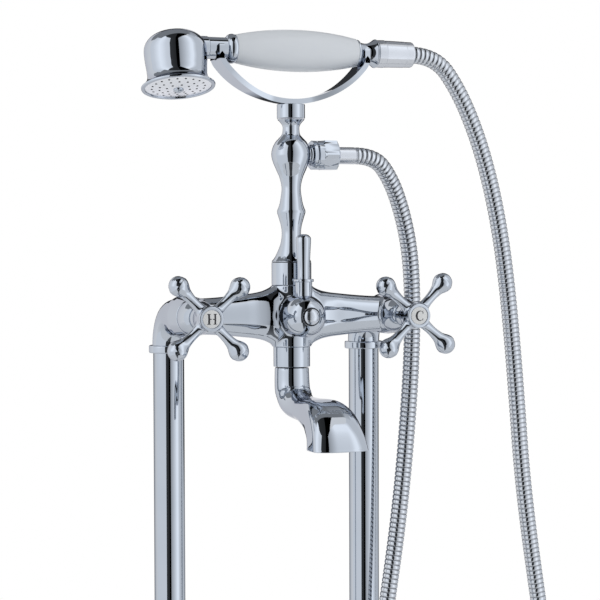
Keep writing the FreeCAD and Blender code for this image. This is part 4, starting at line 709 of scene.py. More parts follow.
@dataclass(frozen=True)
class Plating:
    """Polished or satin plated metal."""

    name: str
    slot: str
    colour: Triple
    shade: Triple
    smoothest: float
    dullest: float
    ripple: float = 0.0012
    rim: float = 0.68
    waves: Waves = ((38.0, 3.0), (95.0, 4.0, 0.6), (140.0, 2.0))

    def material(self) -> bpy.types.Material:
        """Makes the plating: cloudy tint and gloss, darker where it turns away, and a very faint ripple.

        Returns:
            The material.
        """
        recipe = Recipe(self.name)
        recipe.level(Metallic=1.0, Specular_Tint=(self.rim, self.rim, self.rim * 1.06, 1.0))
        gloss = (self.smoothest, self.dullest)
        return recipe.uneven(self.colour, self.shade, gloss, self.ripple, self.waves)


@dataclass(frozen=True)
class HoseMetal:
    """Wound steel of the hose, bright on its ribs, with shade painted dark into the grooves between them."""

    name: str = "hose_metal"
    slot: str = "hose_metal"
    rib: Triple = (0.62, 0.645, 0.685)
    # groove is painted shade: the dark colour put in the grooves where shade falls
    groove: Triple = (0.06, 0.065, 0.08)
    smoothest: float = 0.11
    dullest: float = 0.45

    def material(self) -> bpy.types.Material:
        """Makes the metal from the groove value of the hose's mesh, darkening the grooves as painted shade.

        Returns:
            The material.
        """
        recipe = Recipe(self.name)
        recipe.level(Metallic=1.0, Specular_Tint=(0.45, 0.45, 0.48, 1.0))
        depth = recipe.node("ShaderNodeAttribute", attribute_name=GROOVE).outputs["Fac"]
        # the groove value mixes in the painted groove shade
        recipe.feed("Base Color", recipe.tint(depth, self.rib, self.groove))
        recipe.feed("Roughness", recipe.span(depth, self.smoothest, self.dullest, source=(0.0, 1.0)))
        recipe.relief(recipe.noise(420.0, 2.0), 0.004)
        return recipe.material


@dataclass(frozen=True)
class Glaze:
    """Fired or moulded white: a soft body under a clear coat."""

    name: str
    slot: str
    colour: Triple
    shade: Triple
    rough: float
    coat: float
    coat_rough: float
    grain: float = 0.004
    waves: Waves = ((60.0, 3.0), (210.0, 3.0), (330.0, 2.0))

    def material(self) -> bpy.types.Material:
        """Makes the glaze: faint clouds in the body and a slight unevenness of the coat.

        Returns:
            The material.
        """
        recipe = Recipe(self.name)
        recipe.level(Coat_Weight=self.coat, Coat_Roughness=self.coat_rough)
        gloss = (self.rough * 0.85, self.rough * 1.15)
        return recipe.uneven(self.colour, self.shade, gloss, self.grain, self.waves)


@dataclass(frozen=True)
class Worked:
    """Machined or moulded material of the parts inside: brass, steel, ceramic or rubber."""

    name: str
    slot: str
    colour: Triple
    shade: Triple
    metal: float
    rough: float
    grain: float
    waves: Waves = ((120.0, 4.0), (500.0, 3.0), (900.0, 3.0))

    def material(self) -> bpy.types.Material:
        """Makes the material with its grain as a bump.

        Returns:
            The material.
        """
        recipe = Recipe(self.name)
        recipe.level(Metallic=self.metal)
        gloss = (self.rough * 0.8, self.rough * 1.2)
        return recipe.uneven(self.colour, self.shade, gloss, self.grain, self.waves)


CHROME = Plating("chrome_plate", "chrome", (0.535, 0.57, 0.625), (0.515, 0.555, 0.61), 0.015, 0.045)
PIPE_CHROME = replace(CHROME, name="pipe_chrome", rim=0.2)
SATIN_CHROME = Plating(
    "satin_chrome", "satin_chrome", (0.64, 0.66, 0.70), (0.61, 0.63, 0.67), 0.12, 0.19, 0.002
)
SPRAY_FACE = Plating(
    "spray_face", "satin_chrome", (0.84, 0.85, 0.87), (0.76, 0.78, 0.81), 0.14, 0.26, 0.004, 0.94
)
CAP_CHROME = Plating("cap_chrome", "chrome", (0.60, 0.63, 0.68), (0.57, 0.60, 0.65), 0.16, 0.24, 0.003)
HOSE_METAL = HoseMetal()
PORCELAIN = Glaze("porcelain", "porcelain", (0.745, 0.768, 0.80), (0.73, 0.755, 0.79), 0.36, 0.35, 0.22)
ENAMEL = Glaze("index_enamel", "index_enamel", (0.76, 0.76, 0.75), (0.73, 0.73, 0.725), 0.3, 0.4, 0.1)
INK = Worked("index_ink", "index_enamel", (0.012, 0.012, 0.015), (0.02, 0.02, 0.024), 0.0, 0.4, 0.002)
BRASS = Worked("turned_brass", "brass", (0.68, 0.50, 0.24), (0.60, 0.43, 0.20), 1.0, 0.28, 0.006)
STEEL = Worked("screw_steel", "screw_steel", (0.46, 0.46, 0.47), (0.38, 0.38, 0.40), 1.0, 0.3, 0.006)
CERAMIC = Worked("disc_ceramic", "disc_ceramic", (0.80, 0.78, 0.74), (0.76, 0.74, 0.70), 0.0, 0.25, 0.002)
RUBBER = Worked("seal_rubber", "seal_rubber", (0.018, 0.018, 0.02), (0.03, 0.03, 0.032), 0.0, 0.62, 0.01)

Finish = Plating | HoseMetal | Glaze | Worked


class Workshop:
    """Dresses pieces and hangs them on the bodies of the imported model."""

    def __init__(self, frame: dict) -> None:
        """Keeps the frame.
        """
        self.nodes: dict[str, bpy.types.Object] = frame["nodes"]
        self.made: dict[str, bpy.types.Material] = {}

    def material(self, finish: Finish) -> bpy.types.Material:
        """Gives the material of a finish, made once.

        Args:
            finish: The finish.

        Returns:
            Its material.
        """
        if finish.name not in self.made:
            self.made[finish.name] = finish.material()
        return self.made[finish.name]

    def dress(self, piece: bpy.types.Object, finish: Finish, body: Body, *nodes: str) -> bpy.types.Object:
        """Finishes a piece and hangs it on a body.

        Args:
            piece: The piece.
            finish: Its finish.
            body: The body that it rides on.
            nodes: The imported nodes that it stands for.

        Returns:
            The same piece.
        """
        piece.data.materials.clear()
        piece.data.materials.append(self.material(finish))
        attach(piece, body.value)
        if nodes:
            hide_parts(*nodes)
        log.info("%s: %d faces, %s, on %s", piece.name, len(piece.data.polygons), finish.name, body.value)
        return piece

    def turn(
        self,
        name: str,
        outline: Outline,
        origin: Triple,
        axis: Triple,
        finish: Finish,
        body: Body,
        *nodes: str,
        segments: int = 96,
        crease: float | None = None,
        ring: bool = False,
    ) -> None:
        """Turns a piece, finishes it and hangs it on a body.

        Args:
            name: Its name.
            outline: Its half section.
            origin: Where its axis has its zero.
            axis: The direction of its axis.
            finish: Its finish.
            body: The body that it rides on.
            nodes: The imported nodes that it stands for.
            segments: How many facets go round.
            crease: The angle in degrees above which an edge is sharp, or None for a wholly smooth piece.
            ring: Whether the outline closes on itself.
        """
        shell = Shell.turned(outline, origin, axis, segments, ring)
        self.dress(shell.piece(name, crease), finish, body, *nodes)

    def redress(self, finish: Finish, *names: str) -> None:
        """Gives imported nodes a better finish.

        Args:
            finish: The finish.
            names: The nodes.
        """
        for name in names:
            node = self.nodes[name]
            node.data.materials.clear()
            node.data.materials.append(self.material(finish))


# ------------------------------------------------------------------------------------------------ the pieces


@dataclass
class ShowerHose:
    """Ribbed hose from the outlet on the column, down in a loop beside the filler and up to the handset."""

    outside: float = 12.0
    length: float = 1465.6
    rib_pitch: float = 3.4
    rows_per_rib: int = 8
    groove: float = 0.88
    sharpness: float = 5.0
    sides: int = 24
    blend_start: Triple = (0.180, -0.030, 0.672)
    blend_end: Triple = (0.2139, -0.030, 0.6833)
    route: tuple[Triple, ...] = (
        (0.048, -0.050, 0.982), (0.063, -0.050, 0.982), (0.0775, -0.045, 0.9665),
        (0.089, -0.039, 0.9435), (0.0975, -0.034, 0.915), (0.102, -0.0285, 0.880),
        (0.103, -0.0245, 0.838), (0.1005, -0.0235, 0.795), (0.096, -0.0245, 0.750),
        (0.090, -0.0255, 0.705), (0.0825, -0.0265, 0.660), (0.0755, -0.0265, 0.612),
        (0.070, -0.027, 0.562), (0.0685, -0.028, 0.510), (0.071, -0.029, 0.457), (0.076, -0.030, 0.407),
        (0.0942, -0.031, 0.375), (0.1258, -0.032, 0.357), (0.1622, -0.032, 0.357),
        (0.1938, -0.032, 0.375), (0.212, -0.032, 0.407), (0.217, -0.032, 0.457),
        (0.2195, -0.0315, 0.510), (0.2165, -0.031, 0.562), (0.2105, -0.030, 0.612),
        (0.203, -0.0295, 0.660), (0.196, -0.0295, 0.706), (0.190, -0.030, 0.752), (0.186, -0.031, 0.798),
        (0.1815, -0.0325, 0.842), (0.176, -0.035, 0.884), (0.169, -0.038, 0.924),
        (0.1595, -0.041, 0.962), (0.147, -0.0445, 0.997), (0.130, -0.0485, 1.030),
        (0.1105, -0.050, 1.0545), (0.0917, -0.050, 1.0545),
    )

    def spine(self) -> bpy.types.Object:
        """Draws the hose's line: an open smooth spline with the route's points as its control points.

        Returns:
            The curve's object.
        """
        curve = bpy.data.curves.new("hose_spine", "CURVE")
        curve.dimensions = "3D"
        spline = curve.splines.new("NURBS")
        spline.points.add(len(self.route) - 1)
        for control, place in zip(spline.points, self.route):
            control.co = (*place, 1.0)
        spline.order_u = 3
        spline.use_endpoint_u = True
        spline.resolution_u = 40
        return placed("hose_spine", curve)

    def rib_tree(self) -> ShapeTree:
        """Builds the node tree that winds the ribs along a curve.

        Returns:
            The tree.
        """
        tree = ShapeTree(
            "hose_ribs",
            Rib_pitch="Float",
            Row_spacing="Float",
            Crest_radius="Float",
            Groove_depth="Float",
            Sides="Int",
        )
        given, maths = tree.given, tree.maths
        spacing = {"Curve": given["Geometry"], "Length": given["Row spacing"]}
        rows = tree.out("GeometryNodeResampleCurve", spacing, mode="LENGTH")
        along = tree.node("GeometryNodeSplineParameter").outputs["Length"]
        turn = maths("FRACT", maths("DIVIDE", along, given["Rib pitch"]))
        away = maths("ABSOLUTE", maths("SUBTRACT", maths("MULTIPLY", turn, 2.0), 1.0))
        depth = maths("POWER", away, self.sharpness)
        radius = maths("SUBTRACT", given["Crest radius"], maths("MULTIPLY", depth, given["Groove depth"]))
        carried = {"Geometry": rows, "Name": GROOVE, "Value": depth}
        keep = tree.out("GeometryNodeStoreNamedAttribute", carried, data_type="FLOAT", domain="POINT")
        swell = tree.out("GeometryNodeSetCurveRadius", {"Curve": keep, "Radius": radius})
        circle = tree.out("GeometryNodeCurvePrimitiveCircle", {"Radius": 1.0, "Resolution": given["Sides"]})
        skin = {"Curve": swell, "Profile Curve": circle, "Fill Caps": True}
        tube = tree.node("GeometryNodeCurveToMesh", skin)
        if "Scale" in tube.inputs:
            tree.tree.links.new(radius, tube.inputs["Scale"])
        tree.close(tree.out("GeometryNodeSetShadeSmooth", {"Geometry": tube.outputs["Mesh"]}))
        return tree

    def build(self, shop: Workshop) -> None:
        """Makes the hose as a mesh tube along its spline.

        Args:
            shop: The workshop that dresses it.
        """
        spine = self.spine()
        bare = bpy.data.meshes.new_from_object(spine)
        bpy.data.meshes.remove(bare)
        self.rib_tree().work_on(
            spine,
            Rib_pitch=self.rib_pitch * MM,
            Row_spacing=self.rib_pitch * MM / self.rows_per_rib,
            Crest_radius=self.outside / 2 * MM,
            Groove_depth=self.groove * MM,
            Sides=self.sides,
            Finish=shop.material(HOSE_METAL),
        )
        hose = settled(spine, "ribbed_hose")
        hose.data.materials.clear()
        hose.data.materials.append(shop.material(HOSE_METAL))
        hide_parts("shower_hose")
        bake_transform(hose)


@dataclass
class FloorPipes:
    """Two upright pipes with their collars and elbows."""

    pipe_radius: float = 11.0
    pipe_foot: float = 3.0
    pipe_top: float = 848.2
    wall: float = 1.5
    collar_radius: float = 14.0
    collar_foot: float = 842.7
    elbow_radius: float = 11.5
    bend: float = 21.8
    elbow_front: float = 38.6

    def elbow(self, x: float) -> Shell:
        """Bends one elbow from the pipe to the body.

        Args:
            x: Where its pipe stands.

        Returns:
            The elbow's skin.
        """
        stations = [(0.0, self.pipe_top - 0.2, 0.0), (0.0, self.pipe_top, 0.0)]
        stations += [
            (self.bend * (1 - math.cos(turn)), self.pipe_top + self.bend * math.sin(turn), turn)
            for turn in np.linspace(0, math.pi / 2, 41)[1:].tolist()
        ]
        stations.append((self.elbow_front, self.pipe_top + self.bend, math.pi / 2))
        angles = np.arange(96) * TAU / 96
        rings = []
        for forward, height, turn in stations:
            over = np.array((0.0, math.cos(turn), math.sin(turn)))
            circle = np.cos(angles)[:, None] * np.array(RIGHTWARDS) + np.sin(angles)[:, None] * over
            rings.append(np.array((x, -forward, height)) + self.elbow_radius * circle)
        return Shell.lofted(np.array(rings))

    def build(self, shop: Workshop) -> None:
        """Makes both sides.

        Args:
            shop: The workshop that dresses them.
        """
        collars = []
        for word, x in (("left", -RISER_X), ("right", RISER_X)):
            outer, bore = self.pipe_radius, self.pipe_radius - self.wall
            tube = Outline().to((self.pipe_foot, outer), (self.pipe_top, outer), soft=0.3)
            tube.to((self.pipe_top, bore), (self.pipe_foot, bore))
            riser = (f"pipe_{word}", tube, (x, 0, 0), UPWARDS, PIPE_CHROME, Body.STAND, f"riser_{word}")
            shop.turn(*riser, segments=128, crease=40, ring=True)
            shop.dress(self.elbow(x).piece(f"pipe_elbow_{word}", 60), CHROME, Body.STAND, f"elbow_{word}")
            band = Outline().to((self.collar_foot, self.pipe_radius))
            band.to((self.collar_foot, self.collar_radius), (self.pipe_top, self.collar_radius), soft=1.1)
            band.to((self.pipe_top, self.pipe_radius))
            collars.append(Shell.turned(band, (x, 0, 0), UPWARDS, 96, ring=True))
        both = collars[0].and_also(collars[1]).piece("pipe_collars", 60)
        shop.dress(both, CHROME, Body.STAND, "riser_collars")


@dataclass
class BridgeBody:
    """Bridge body: two valve housings joined to an upright barrel by swept arms, and the diverter's boss."""

    housing_radius: float = 14.5
    housing_front_radius: float = 13.0
    housing_rear: float = 38.0
    housing_step: float = 46.0
    housing_front: float = 63.0
    barrel_radius: float = 13.6
    barrel_rise: float = 21.0
    barrel_drop: float = 22.0
    boss_radius: float = 13.8
    boss_front: float = 64.0
    arm_depth: float = 11.9
    barrel_fillet: float = 2.2
    boss_fillet: float = 2.6
    housing_fillet: float = 1.8
    edge: float = 0.9
    end_edge: float = 0.7
    arm_rise: tuple[Pair, ...] = (
        (13.2, 9.4), (17.0, 7.1), (21.0, 5.4), (27.0, 4.0), (36.0, 2.9), (50.0, 1.5), (62.0, 0.7),
        (75.0, 0.6),
    )
    arm_flare: tuple[Pair, ...] = (
        (13.2, 1.8), (17.0, 1.7), (21.0, 0.8), (27.0, 0.1), (36.0, 0.0), (75.0, 0.0)
    )

    def distance(self, points: np.ndarray) -> np.ndarray:
        """Measures how far points are from the body's skin.

        Args:
            points: Points in the row frame.

        Returns:
            The distances, negative inside.
        """
        side = np.abs(points[:, 0])
        forward, height = -points[:, 1], points[:, 2] - AXIS_HEIGHT
        radii = (self.housing_radius, self.housing_front_radius)
        taper = np.interp(forward, (self.housing_step, self.housing_front), radii)
        middle = (self.housing_rear + self.housing_front) / 2
        half = (self.housing_front - self.housing_rear) / 2
        round_wall = np.hypot(side - RISER_X, height) - taper
        housing = soft_most(round_wall, np.abs(forward - middle) - half, self.edge)
        tall = self.arm_depth + table_of(self.arm_rise, side)
        deep = self.arm_depth + table_of(self.arm_flare, side)
        depth = (forward - BODY_REACH) / deep
        ratio = np.hypot(depth, height / tall)
        steep = np.hypot(depth / deep, height / tall**2)
        arm = ratio * (ratio - 1) / np.maximum(steep, 1e-6)
        arm = soft_most(arm, side - RISER_X, 1.0)
        barrel = np.hypot(side, forward - BODY_REACH) - self.barrel_radius
        boss = soft_most(np.hypot(side, height) - self.boss_radius, BODY_REACH - forward, 1.0)
        whole = soft_least(soft_least(arm, barrel, self.barrel_fillet), boss, self.boss_fillet)
        whole = soft_most(whole, forward - self.boss_front, self.edge)
        whole = soft_most(whole, height - self.barrel_rise, self.end_edge)
        whole = soft_most(whole, -self.barrel_drop - height, self.end_edge)
        return soft_least(whole, housing, self.housing_fillet)

    def cores(self) -> Shell:
        """Makes the rough solids that the skin is drawn from.

        Returns:
            The solids as one skin.
        """
        drum = Outline().to((-self.barrel_drop, 0), (-self.barrel_drop, self.barrel_radius))
        drum.to((self.barrel_rise, self.barrel_radius), (self.barrel_rise, 0))
        barrel = Shell.turned(drum, (0, -BODY_REACH, AXIS_HEIGHT), UPWARDS, 48)
        nose = Outline().to((BODY_REACH, 0), (BODY_REACH, self.boss_radius))
        nose.to((self.boss_front, self.boss_radius), (self.boss_front, 0))
        parts = [Shell.turned(nose, (0, 0, AXIS_HEIGHT), FORWARDS, 48)]
        for x in (-RISER_X, RISER_X):
            cup = Outline().to((self.housing_rear, 0), (self.housing_rear, self.housing_radius))
            cup.to((self.housing_step, self.housing_radius))
            cup.to((self.housing_front, self.housing_front_radius), (self.housing_front, 0))
            parts.append(Shell.turned(cup, (x, 0, AXIS_HEIGHT), FORWARDS, 48))
        rings, angles = [], np.arange(48) * TAU / 48
        for x in np.linspace(-RISER_X, RISER_X, 61).tolist():
            tall = self.arm_depth + float(table_of(self.arm_rise, np.array([abs(x)]))[0])
            deep = self.arm_depth + float(table_of(self.arm_flare, np.array([abs(x)]))[0])
            centre = np.array((x, -BODY_REACH, AXIS_HEIGHT))
            tall = min(tall, self.barrel_rise - 0.1)
            ring = np.stack([0 * angles, deep * np.cos(angles), tall * np.sin(angles)], axis=1)
            rings.append(centre + ring)
        return barrel.and_also(*parts, Shell.lofted(np.array(rings)))

    def build(self, shop: Workshop) -> None:
        """Casts the body.

        Args:
            shop: The workshop that dresses it.
        """
        cast = Casting("bridge_casting", self.distance, self.cores(), 0.6)
        shop.dress(cast.piece(), CHROME, Body.STAND, "mixer_body")


@dataclass
class CrossHandle:
    """One valve's bonnet, its cross handle with four clubbed arms and the enamelled index button."""

    word: str
    x: float
    body: Body
    mark: Mark
    lean: float
    bonnet_front: float = 78.0
    hub_radius: float = 8.5
    hub_rear: float = 78.3
    hub_front: float = 101.2
    arm_plane: float = 95.0
    tip_centre: float = 30.5
    tip_radius: float = 6.6
    button_radius: float = 6.05
    core_middle: float = 93.6
    core_half: float = 7.0
    core_radius: float = 8.36
    fillet: float = 2.4
    button_floor: float = 97.6
    button_crown: float = 1.1
    arm_radii: tuple[Pair, ...] = ((0.0, 4.1), (7.4, 3.9), (14.0, 3.3), (19.0, 3.5), (25.2, 4.7), (29.0, 5.9))

    @property
    def base(self) -> Triple:
        """Where the valve's axis crosses the plane of the pipes."""
        return (self.x, 0.0, AXIS_HEIGHT)

    def bonnet(self) -> Shell:
        """Turns the bonnet between the housing and the handle.

        Returns:
            Its skin.
        """
        outline = Outline().to((62.0, 0), (62.0, 12.2), (63.0, 12.6), soft=0.2)
        outline.bow((71.5, 11.6), (self.bonnet_front, 8.8))
        outline.corners[-1] = (self.bonnet_front, 8.8, 0.35)
        return Shell.turned(outline.to((self.bonnet_front, 0)), self.base, FORWARDS)

    def hub(self) -> Shell:
        """Turns the hub with its rim round the button.

        Returns:
            Its skin.
        """
        outline = Outline().to((self.hub_rear, 0), (self.hub_rear, 7.3))
        outline.to((self.hub_rear + 1.0, 8.5), soft=0.8)
        outline.to((84.0, 7.8), soft=2.2).to((90.0, 8.5), soft=2.2)
        outline.to((self.hub_front, self.hub_radius), soft=1.3).to((self.hub_front, 6.3), soft=0.35)
        outline.to((self.hub_front - 0.9, 6.2), (self.hub_front - 0.9, 0), soft=0.1)
        return Shell.turned(outline, self.base, FORWARDS)

    def distance(self, points: np.ndarray) -> np.ndarray:
        """Measures how far points are from the skin of the four arms, which flare out of the hub.

        Args:
            points: Points in the row frame.

        Returns:
            The distances, negative inside.
        """
        lean = math.radians(self.lean)
        right, over = points[:, 0] - self.x, points[:, 2] - AXIS_HEIGHT
        x = right * math.cos(lean) + over * math.sin(lean)
        height = over * math.cos(lean) - right * math.sin(lean)
        forward = -points[:, 1]
        first, second = np.abs(x + height) / math.sqrt(2), np.abs(x - height) / math.sqrt(2)
        out, off = np.maximum(first, second), np.minimum(first, second)
        beside = np.hypot(off, forward - self.arm_plane)
        arm = soft_most(beside - table_of(self.arm_radii, out), out - self.tip_centre, 0.6)
        ball = np.hypot(beside, out - self.tip_centre) - self.tip_radius
        club = soft_least(arm, ball, self.fillet)
        ends = np.abs(forward - self.core_middle) - self.core_half
        hub = soft_most(np.hypot(x, height) - self.core_radius, ends, 0.9)
        return soft_least(hub, club, self.fillet)

    def cores(self) -> Shell:
        """Makes the rough solids that the arms are drawn from.

        Returns:
            The solids as one skin.
        """
        hub = Outline().to((86.6, 0), (86.6, 8.3), (100.6, 8.3), (100.6, 0))
        parts = []
        for quarter in range(4):
            turn = math.pi / 4 + quarter * math.pi / 2 + math.radians(self.lean)
            way = (math.cos(turn), 0.0, math.sin(turn))
            arm = Outline().to((0, 0), (0, 4.0), (10, 3.6), (20, 3.6), (25.5, 4.6))
            arm.bow((self.tip_centre, self.tip_radius), (self.tip_centre + self.tip_radius, 0.0))
            parts.append(Shell.turned(arm, (self.x, -self.arm_plane, AXIS_HEIGHT), way, 40))
        return Shell.turned(hub, self.base, FORWARDS, 48).and_also(*parts)

    def crown_height(self, across: float, up: float) -> float:
        """Gives how far forwards the button's face is at a place on it."""
        return self.hub_front + self.button_crown * (1 - (across * across + up * up) / self.button_radius**2)

    def raised(self, left: Sequence[Pair], right: Sequence[Pair]) -> Shell:
        """Makes a thin raised stroke between two lines on the button's face.

        Args:
            left: The points down its left side.
            right: The points down its right side.

        Returns:
            The stroke, a closed band.
        """
        rings = []
        for near, far in zip(left, right):
            ring = []
            for (across, up), lift in ((near, -0.25), (far, -0.25), (far, 0.07), (near, 0.07)):
                ring.append((self.x + across, -self.crown_height(across, up) - lift, AXIS_HEIGHT + up))
            rings.append(ring)
        return Shell.lofted(np.array(rings))

    def bar(self, low: Pair, high: Pair) -> Shell:
        """Makes an upright stroke from its lower left corner to its upper right one."""
        heights = np.linspace(low[1], high[1], 6).tolist()
        return self.raised([(low[0], up) for up in heights], [(high[0], up) for up in heights])

    def strokes(self) -> Shell:
        """Draws the index mark.

        Returns:
            Its strokes as one skin.
        """
        if self.mark is Mark.HOT:
            parts = [
                self.bar((-2.75, -3.3), (-1.55, 3.3)),
                self.bar((1.55, -3.3), (2.75, 3.3)),
                self.bar((-1.6, -0.3), (1.6, 0.3)),
            ]
            for centre in (-2.15, 2.15):
                for height in (-3.3, 3.3):
                    parts.append(self.bar((centre - 1.15, height - 0.24), (centre + 1.15, height + 0.24)))
            return Shell.joined(parts)
        turns = [math.radians(angle) for angle in np.linspace(48, 312, 40).tolist()]
        outer = [(3.15 * math.cos(turn), 3.55 * math.sin(turn)) for turn in turns]
        inner = [(0.62 + 2.42 * math.cos(turn), 3.08 * math.sin(turn)) for turn in turns]
        parts = [self.raised(inner, outer)]
        parts += [self.bar((2.05, 1.35), (2.55, 3.4)), self.bar((2.05, -3.2), (2.45, -1.9))]
        return Shell.joined(parts)

    def build(self, shop: Workshop) -> None:
        """Makes the handle and what is round it.

        Args:
            shop: The workshop that dresses them.
        """
        word = self.word
        shop.dress(self.bonnet().piece(f"{word}_valve_bonnet"), CHROME, Body.STAND, f"{word}_bonnet")
        shop.dress(self.hub().piece(f"{word}_cross_hub"), CHROME, self.body, f"{word}_handle")
        arms = Casting(f"{word}_cross_arms", self.distance, self.cores(), 0.45)
        shop.dress(arms.piece(), CHROME, self.body, f"{word}_handle")
        face = Outline().to((self.button_floor, 0), (self.button_floor, self.button_radius))
        face.to((self.hub_front - 0.1, self.button_radius), soft=0.35)
        crown = [(self.crown_height(radius, 0.0), radius) for radius in (5.7, 5.0, 4.0, 3.0, 2.0, 1.0, 0.0)]
        face.to(crown[0], soft=0).swell(*crown[1:], steps=4)
        button = (f"{word}_enamel_button", face, self.base, FORWARDS, ENAMEL, self.body)
        shop.turn(*button, f"{word}_index_button")
        shop.dress(self.strokes().piece(f"{word}_index_mark", 40), INK, self.body)


@dataclass
class Diverter:
    """Diverter: a drum with a domed front, its cap, and the lever standing on its neck."""

    drum_radius: float = 14.6
    drum_rear: float = 64.3
    drum_front: float = 76.0
    lever_plane: float = 74.0
    neck_radius: float = 5.9
    neck_top: float = 23.6
    ring_top: float = 25.6
    lever_top: float = 56.3

    def build(self, shop: Workshop) -> None:
        """Makes the diverter.

        Args:
            shop: The workshop that dresses it.
        """
        base = (0.0, 0.0, AXIS_HEIGHT)
        drum = Outline().to((self.drum_rear, 0), (self.drum_rear, self.drum_radius), soft=0.6)
        drum.to((self.drum_front, self.drum_radius), soft=0)
        drum.bow((85.6, 11.2), (89.2, 6.9), 28).to((89.5, 6.4), (88.2, 6.2), (88.2, 0), soft=0.25)
        stand = (0.0, -self.lever_plane, AXIS_HEIGHT)
        neck = Outline().to((6.0, 0), (6.0, self.neck_radius), (12.0, self.neck_radius)).to(
            (self.neck_top, self.neck_radius), soft=0.3
        )
        neck.to((self.neck_top, 7.0), (self.ring_top, 7.0), (self.ring_top, 0), soft=0.7)
        both = Shell.turned(drum, base, FORWARDS, 128).and_also(Shell.turned(neck, stand, UPWARDS))
        shop.dress(both.piece("diverter_knob"), CHROME, Body.DIVERTER, "diverter_drum")
        rod = Outline().to((self.ring_top - 0.5, 0), soft=0.1)
        rod.to((self.ring_top - 0.5, 4.3), (self.ring_top, 4.3), soft=0.1)
        rod.swell((32.0, 4.25), (42.0, 4.7), (51.0, 5.2), steps=8).to((self.lever_top - 2.6, 5.2), soft=0)
        rod.bow((self.lever_top - 0.75, 3.7), (self.lever_top, 0.0), 16)
        shop.turn("lever_rod", rod, stand, UPWARDS, CHROME, Body.DIVERTER, "diverter_lever")
        cap = Outline().to((87.0, 0), (87.0, 5.45), (90.6, 5.45), soft=0.3)
        cap.bow((92.1, 3.4), (92.8, 0.0), 16)
        shop.turn("knob_cap", cap, base, FORWARDS, CAP_CHROME, Body.DIVERTER, "diverter_cap")
        # the dark rubber ring in the recess round the cap is painted shade
        gap = Outline().to((88.1, 5.2), (88.1, 6.3), (88.6, 6.3), (88.6, 5.2), soft=0)
        shop.turn("knob_groove", gap, base, FORWARDS, RUBBER, Body.DIVERTER, crease=30, ring=True)


@dataclass
class Column:
    """Turned column on the body with its lock ring."""

    ring_radius: float = 13.9
    ring_foot: float = 891.0
    ring_top: float = 906.9
    foot: float = 907.4
    profile: tuple[Pair, ...] = (
        (909.3, 12.4), (914.1, 9.8), (920.4, 7.5), (927.4, 6.7), (931.6, 7.1), (937.4, 8.6),
        (941.6, 9.9),
    )
    ball: tuple[Pair, ...] = (
        (947.0, 8.4), (952.6, 7.3), (958.8, 6.7), (966.5, 8.3), (972.1, 10.7), (977.5, 12.9),
        (982.2, 13.8), (986.8, 13.0), (990.8, 11.0), (993.6, 8.5), (996.0, 6.5), (999.0, 5.85),
        (1002.0, 6.0), (1004.6, 7.6), (1006.2, 9.2),
    )

    def build(self, shop: Workshop) -> None:
        """Makes the column.

        Args:
            shop: The workshop that dresses it.
        """
        base = (0.0, -BODY_REACH, 0.0)
        ring = Outline().to((self.ring_foot, 0), (self.ring_foot, self.ring_radius), soft=0.4)
        ring.to((self.ring_top, self.ring_radius), (self.ring_top, 0), soft=0.4)
        shop.turn("lock_ring", ring, base, UPWARDS, CHROME, Body.STAND, "column_lock_ring")
        turned = Outline().to((self.foot, 0), (self.foot, 13.9), soft=0.25)
        turned.swell((self.foot + 0.3, 13.75), *self.profile, steps=8).to((943.0, 9.9), soft=0.3)
        turned.swell(*self.ball, steps=8).to((1006.8, 9.5), soft=0.25).to((1007.0, 0))
        shop.turn("turned_column", turned, base, UPWARDS, CHROME, Body.STAND, "column", segments=128)


@dataclass
class HoseOutlet:
    """Hose outlet on the column: a union nut with six flats and the plain ferrule of the hose."""

    height: float = 982.0
    nut_start: float = 14.6
    hex_start: float = 22.0
    nut_end: float = 33.5
    collar_radius: float = 10.2
    flats: float = 20.4
    ferrule_radius: float = 6.0
    ferrule_end: float = 48.2

    def nut(self) -> Shell:
        """Shapes the nut: a grooved collar and six chamfered flats.

        Returns:
            Its skin.
        """
        apothem = self.flats / 2
        corner = apothem / math.cos(math.pi / 6)
        start, full = self.nut_start, self.collar_radius
        stations = [(start, 8.2), (start, 9.0), (start + 0.25, 9.7), (start + 0.9, full)]
        stations += [(17.0, full), (17.3, 9.75), (17.8, 9.5), (18.3, 9.75), (18.6, full), (21.8, full)]
        stations += [(self.hex_start, 10.5), (self.hex_start + 1.1, corner), (self.nut_end - 1.3, corner)]
        stations += [(self.nut_end - 0.3, 10.0), (self.nut_end, 9.3), (self.nut_end, 6.1)]
        angles = np.arange(144) * TAU / 144
        folded = np.abs((angles + math.pi / 6) % (math.pi / 3) - math.pi / 6)
        flat = apothem / np.cos(folded)
        rings = []
        for x, limit in stations:
            radius = np.minimum(flat, limit) if x >= self.hex_start else np.full_like(angles, limit)
            over = np.stack([0 * angles, -radius * np.sin(angles), radius * np.cos(angles)], axis=1)
            rings.append(np.array((x, -BODY_REACH, self.height)) + over)
        return Shell.lofted(np.array(rings))

    def build(self, shop: Workshop) -> None:
        """Makes the nut and the ferrule.

        Args:
            shop: The workshop that dresses them.
        """
        shop.dress(self.nut().piece("union_nut", 28), CHROME, Body.STAND, "hose_union_nut")
        sleeve = Outline().to((self.nut_end - 3.0, 0), (self.nut_end - 3.0, self.ferrule_radius))
        end = self.ferrule_end
        sleeve.to((end - 1.2, self.ferrule_radius), soft=0.2).to((end - 0.9, 5.6), soft=0.15)
        sleeve.to((end - 0.5, 5.6), (end - 0.3, 5.9), (end, 5.9), soft=0.12).to((end, 0))
        base = (0, -BODY_REACH, self.height)
        shop.turn("hose_sleeve", sleeve, base, RIGHTWARDS, SATIN_CHROME, Body.STAND, "hose_ferrule")


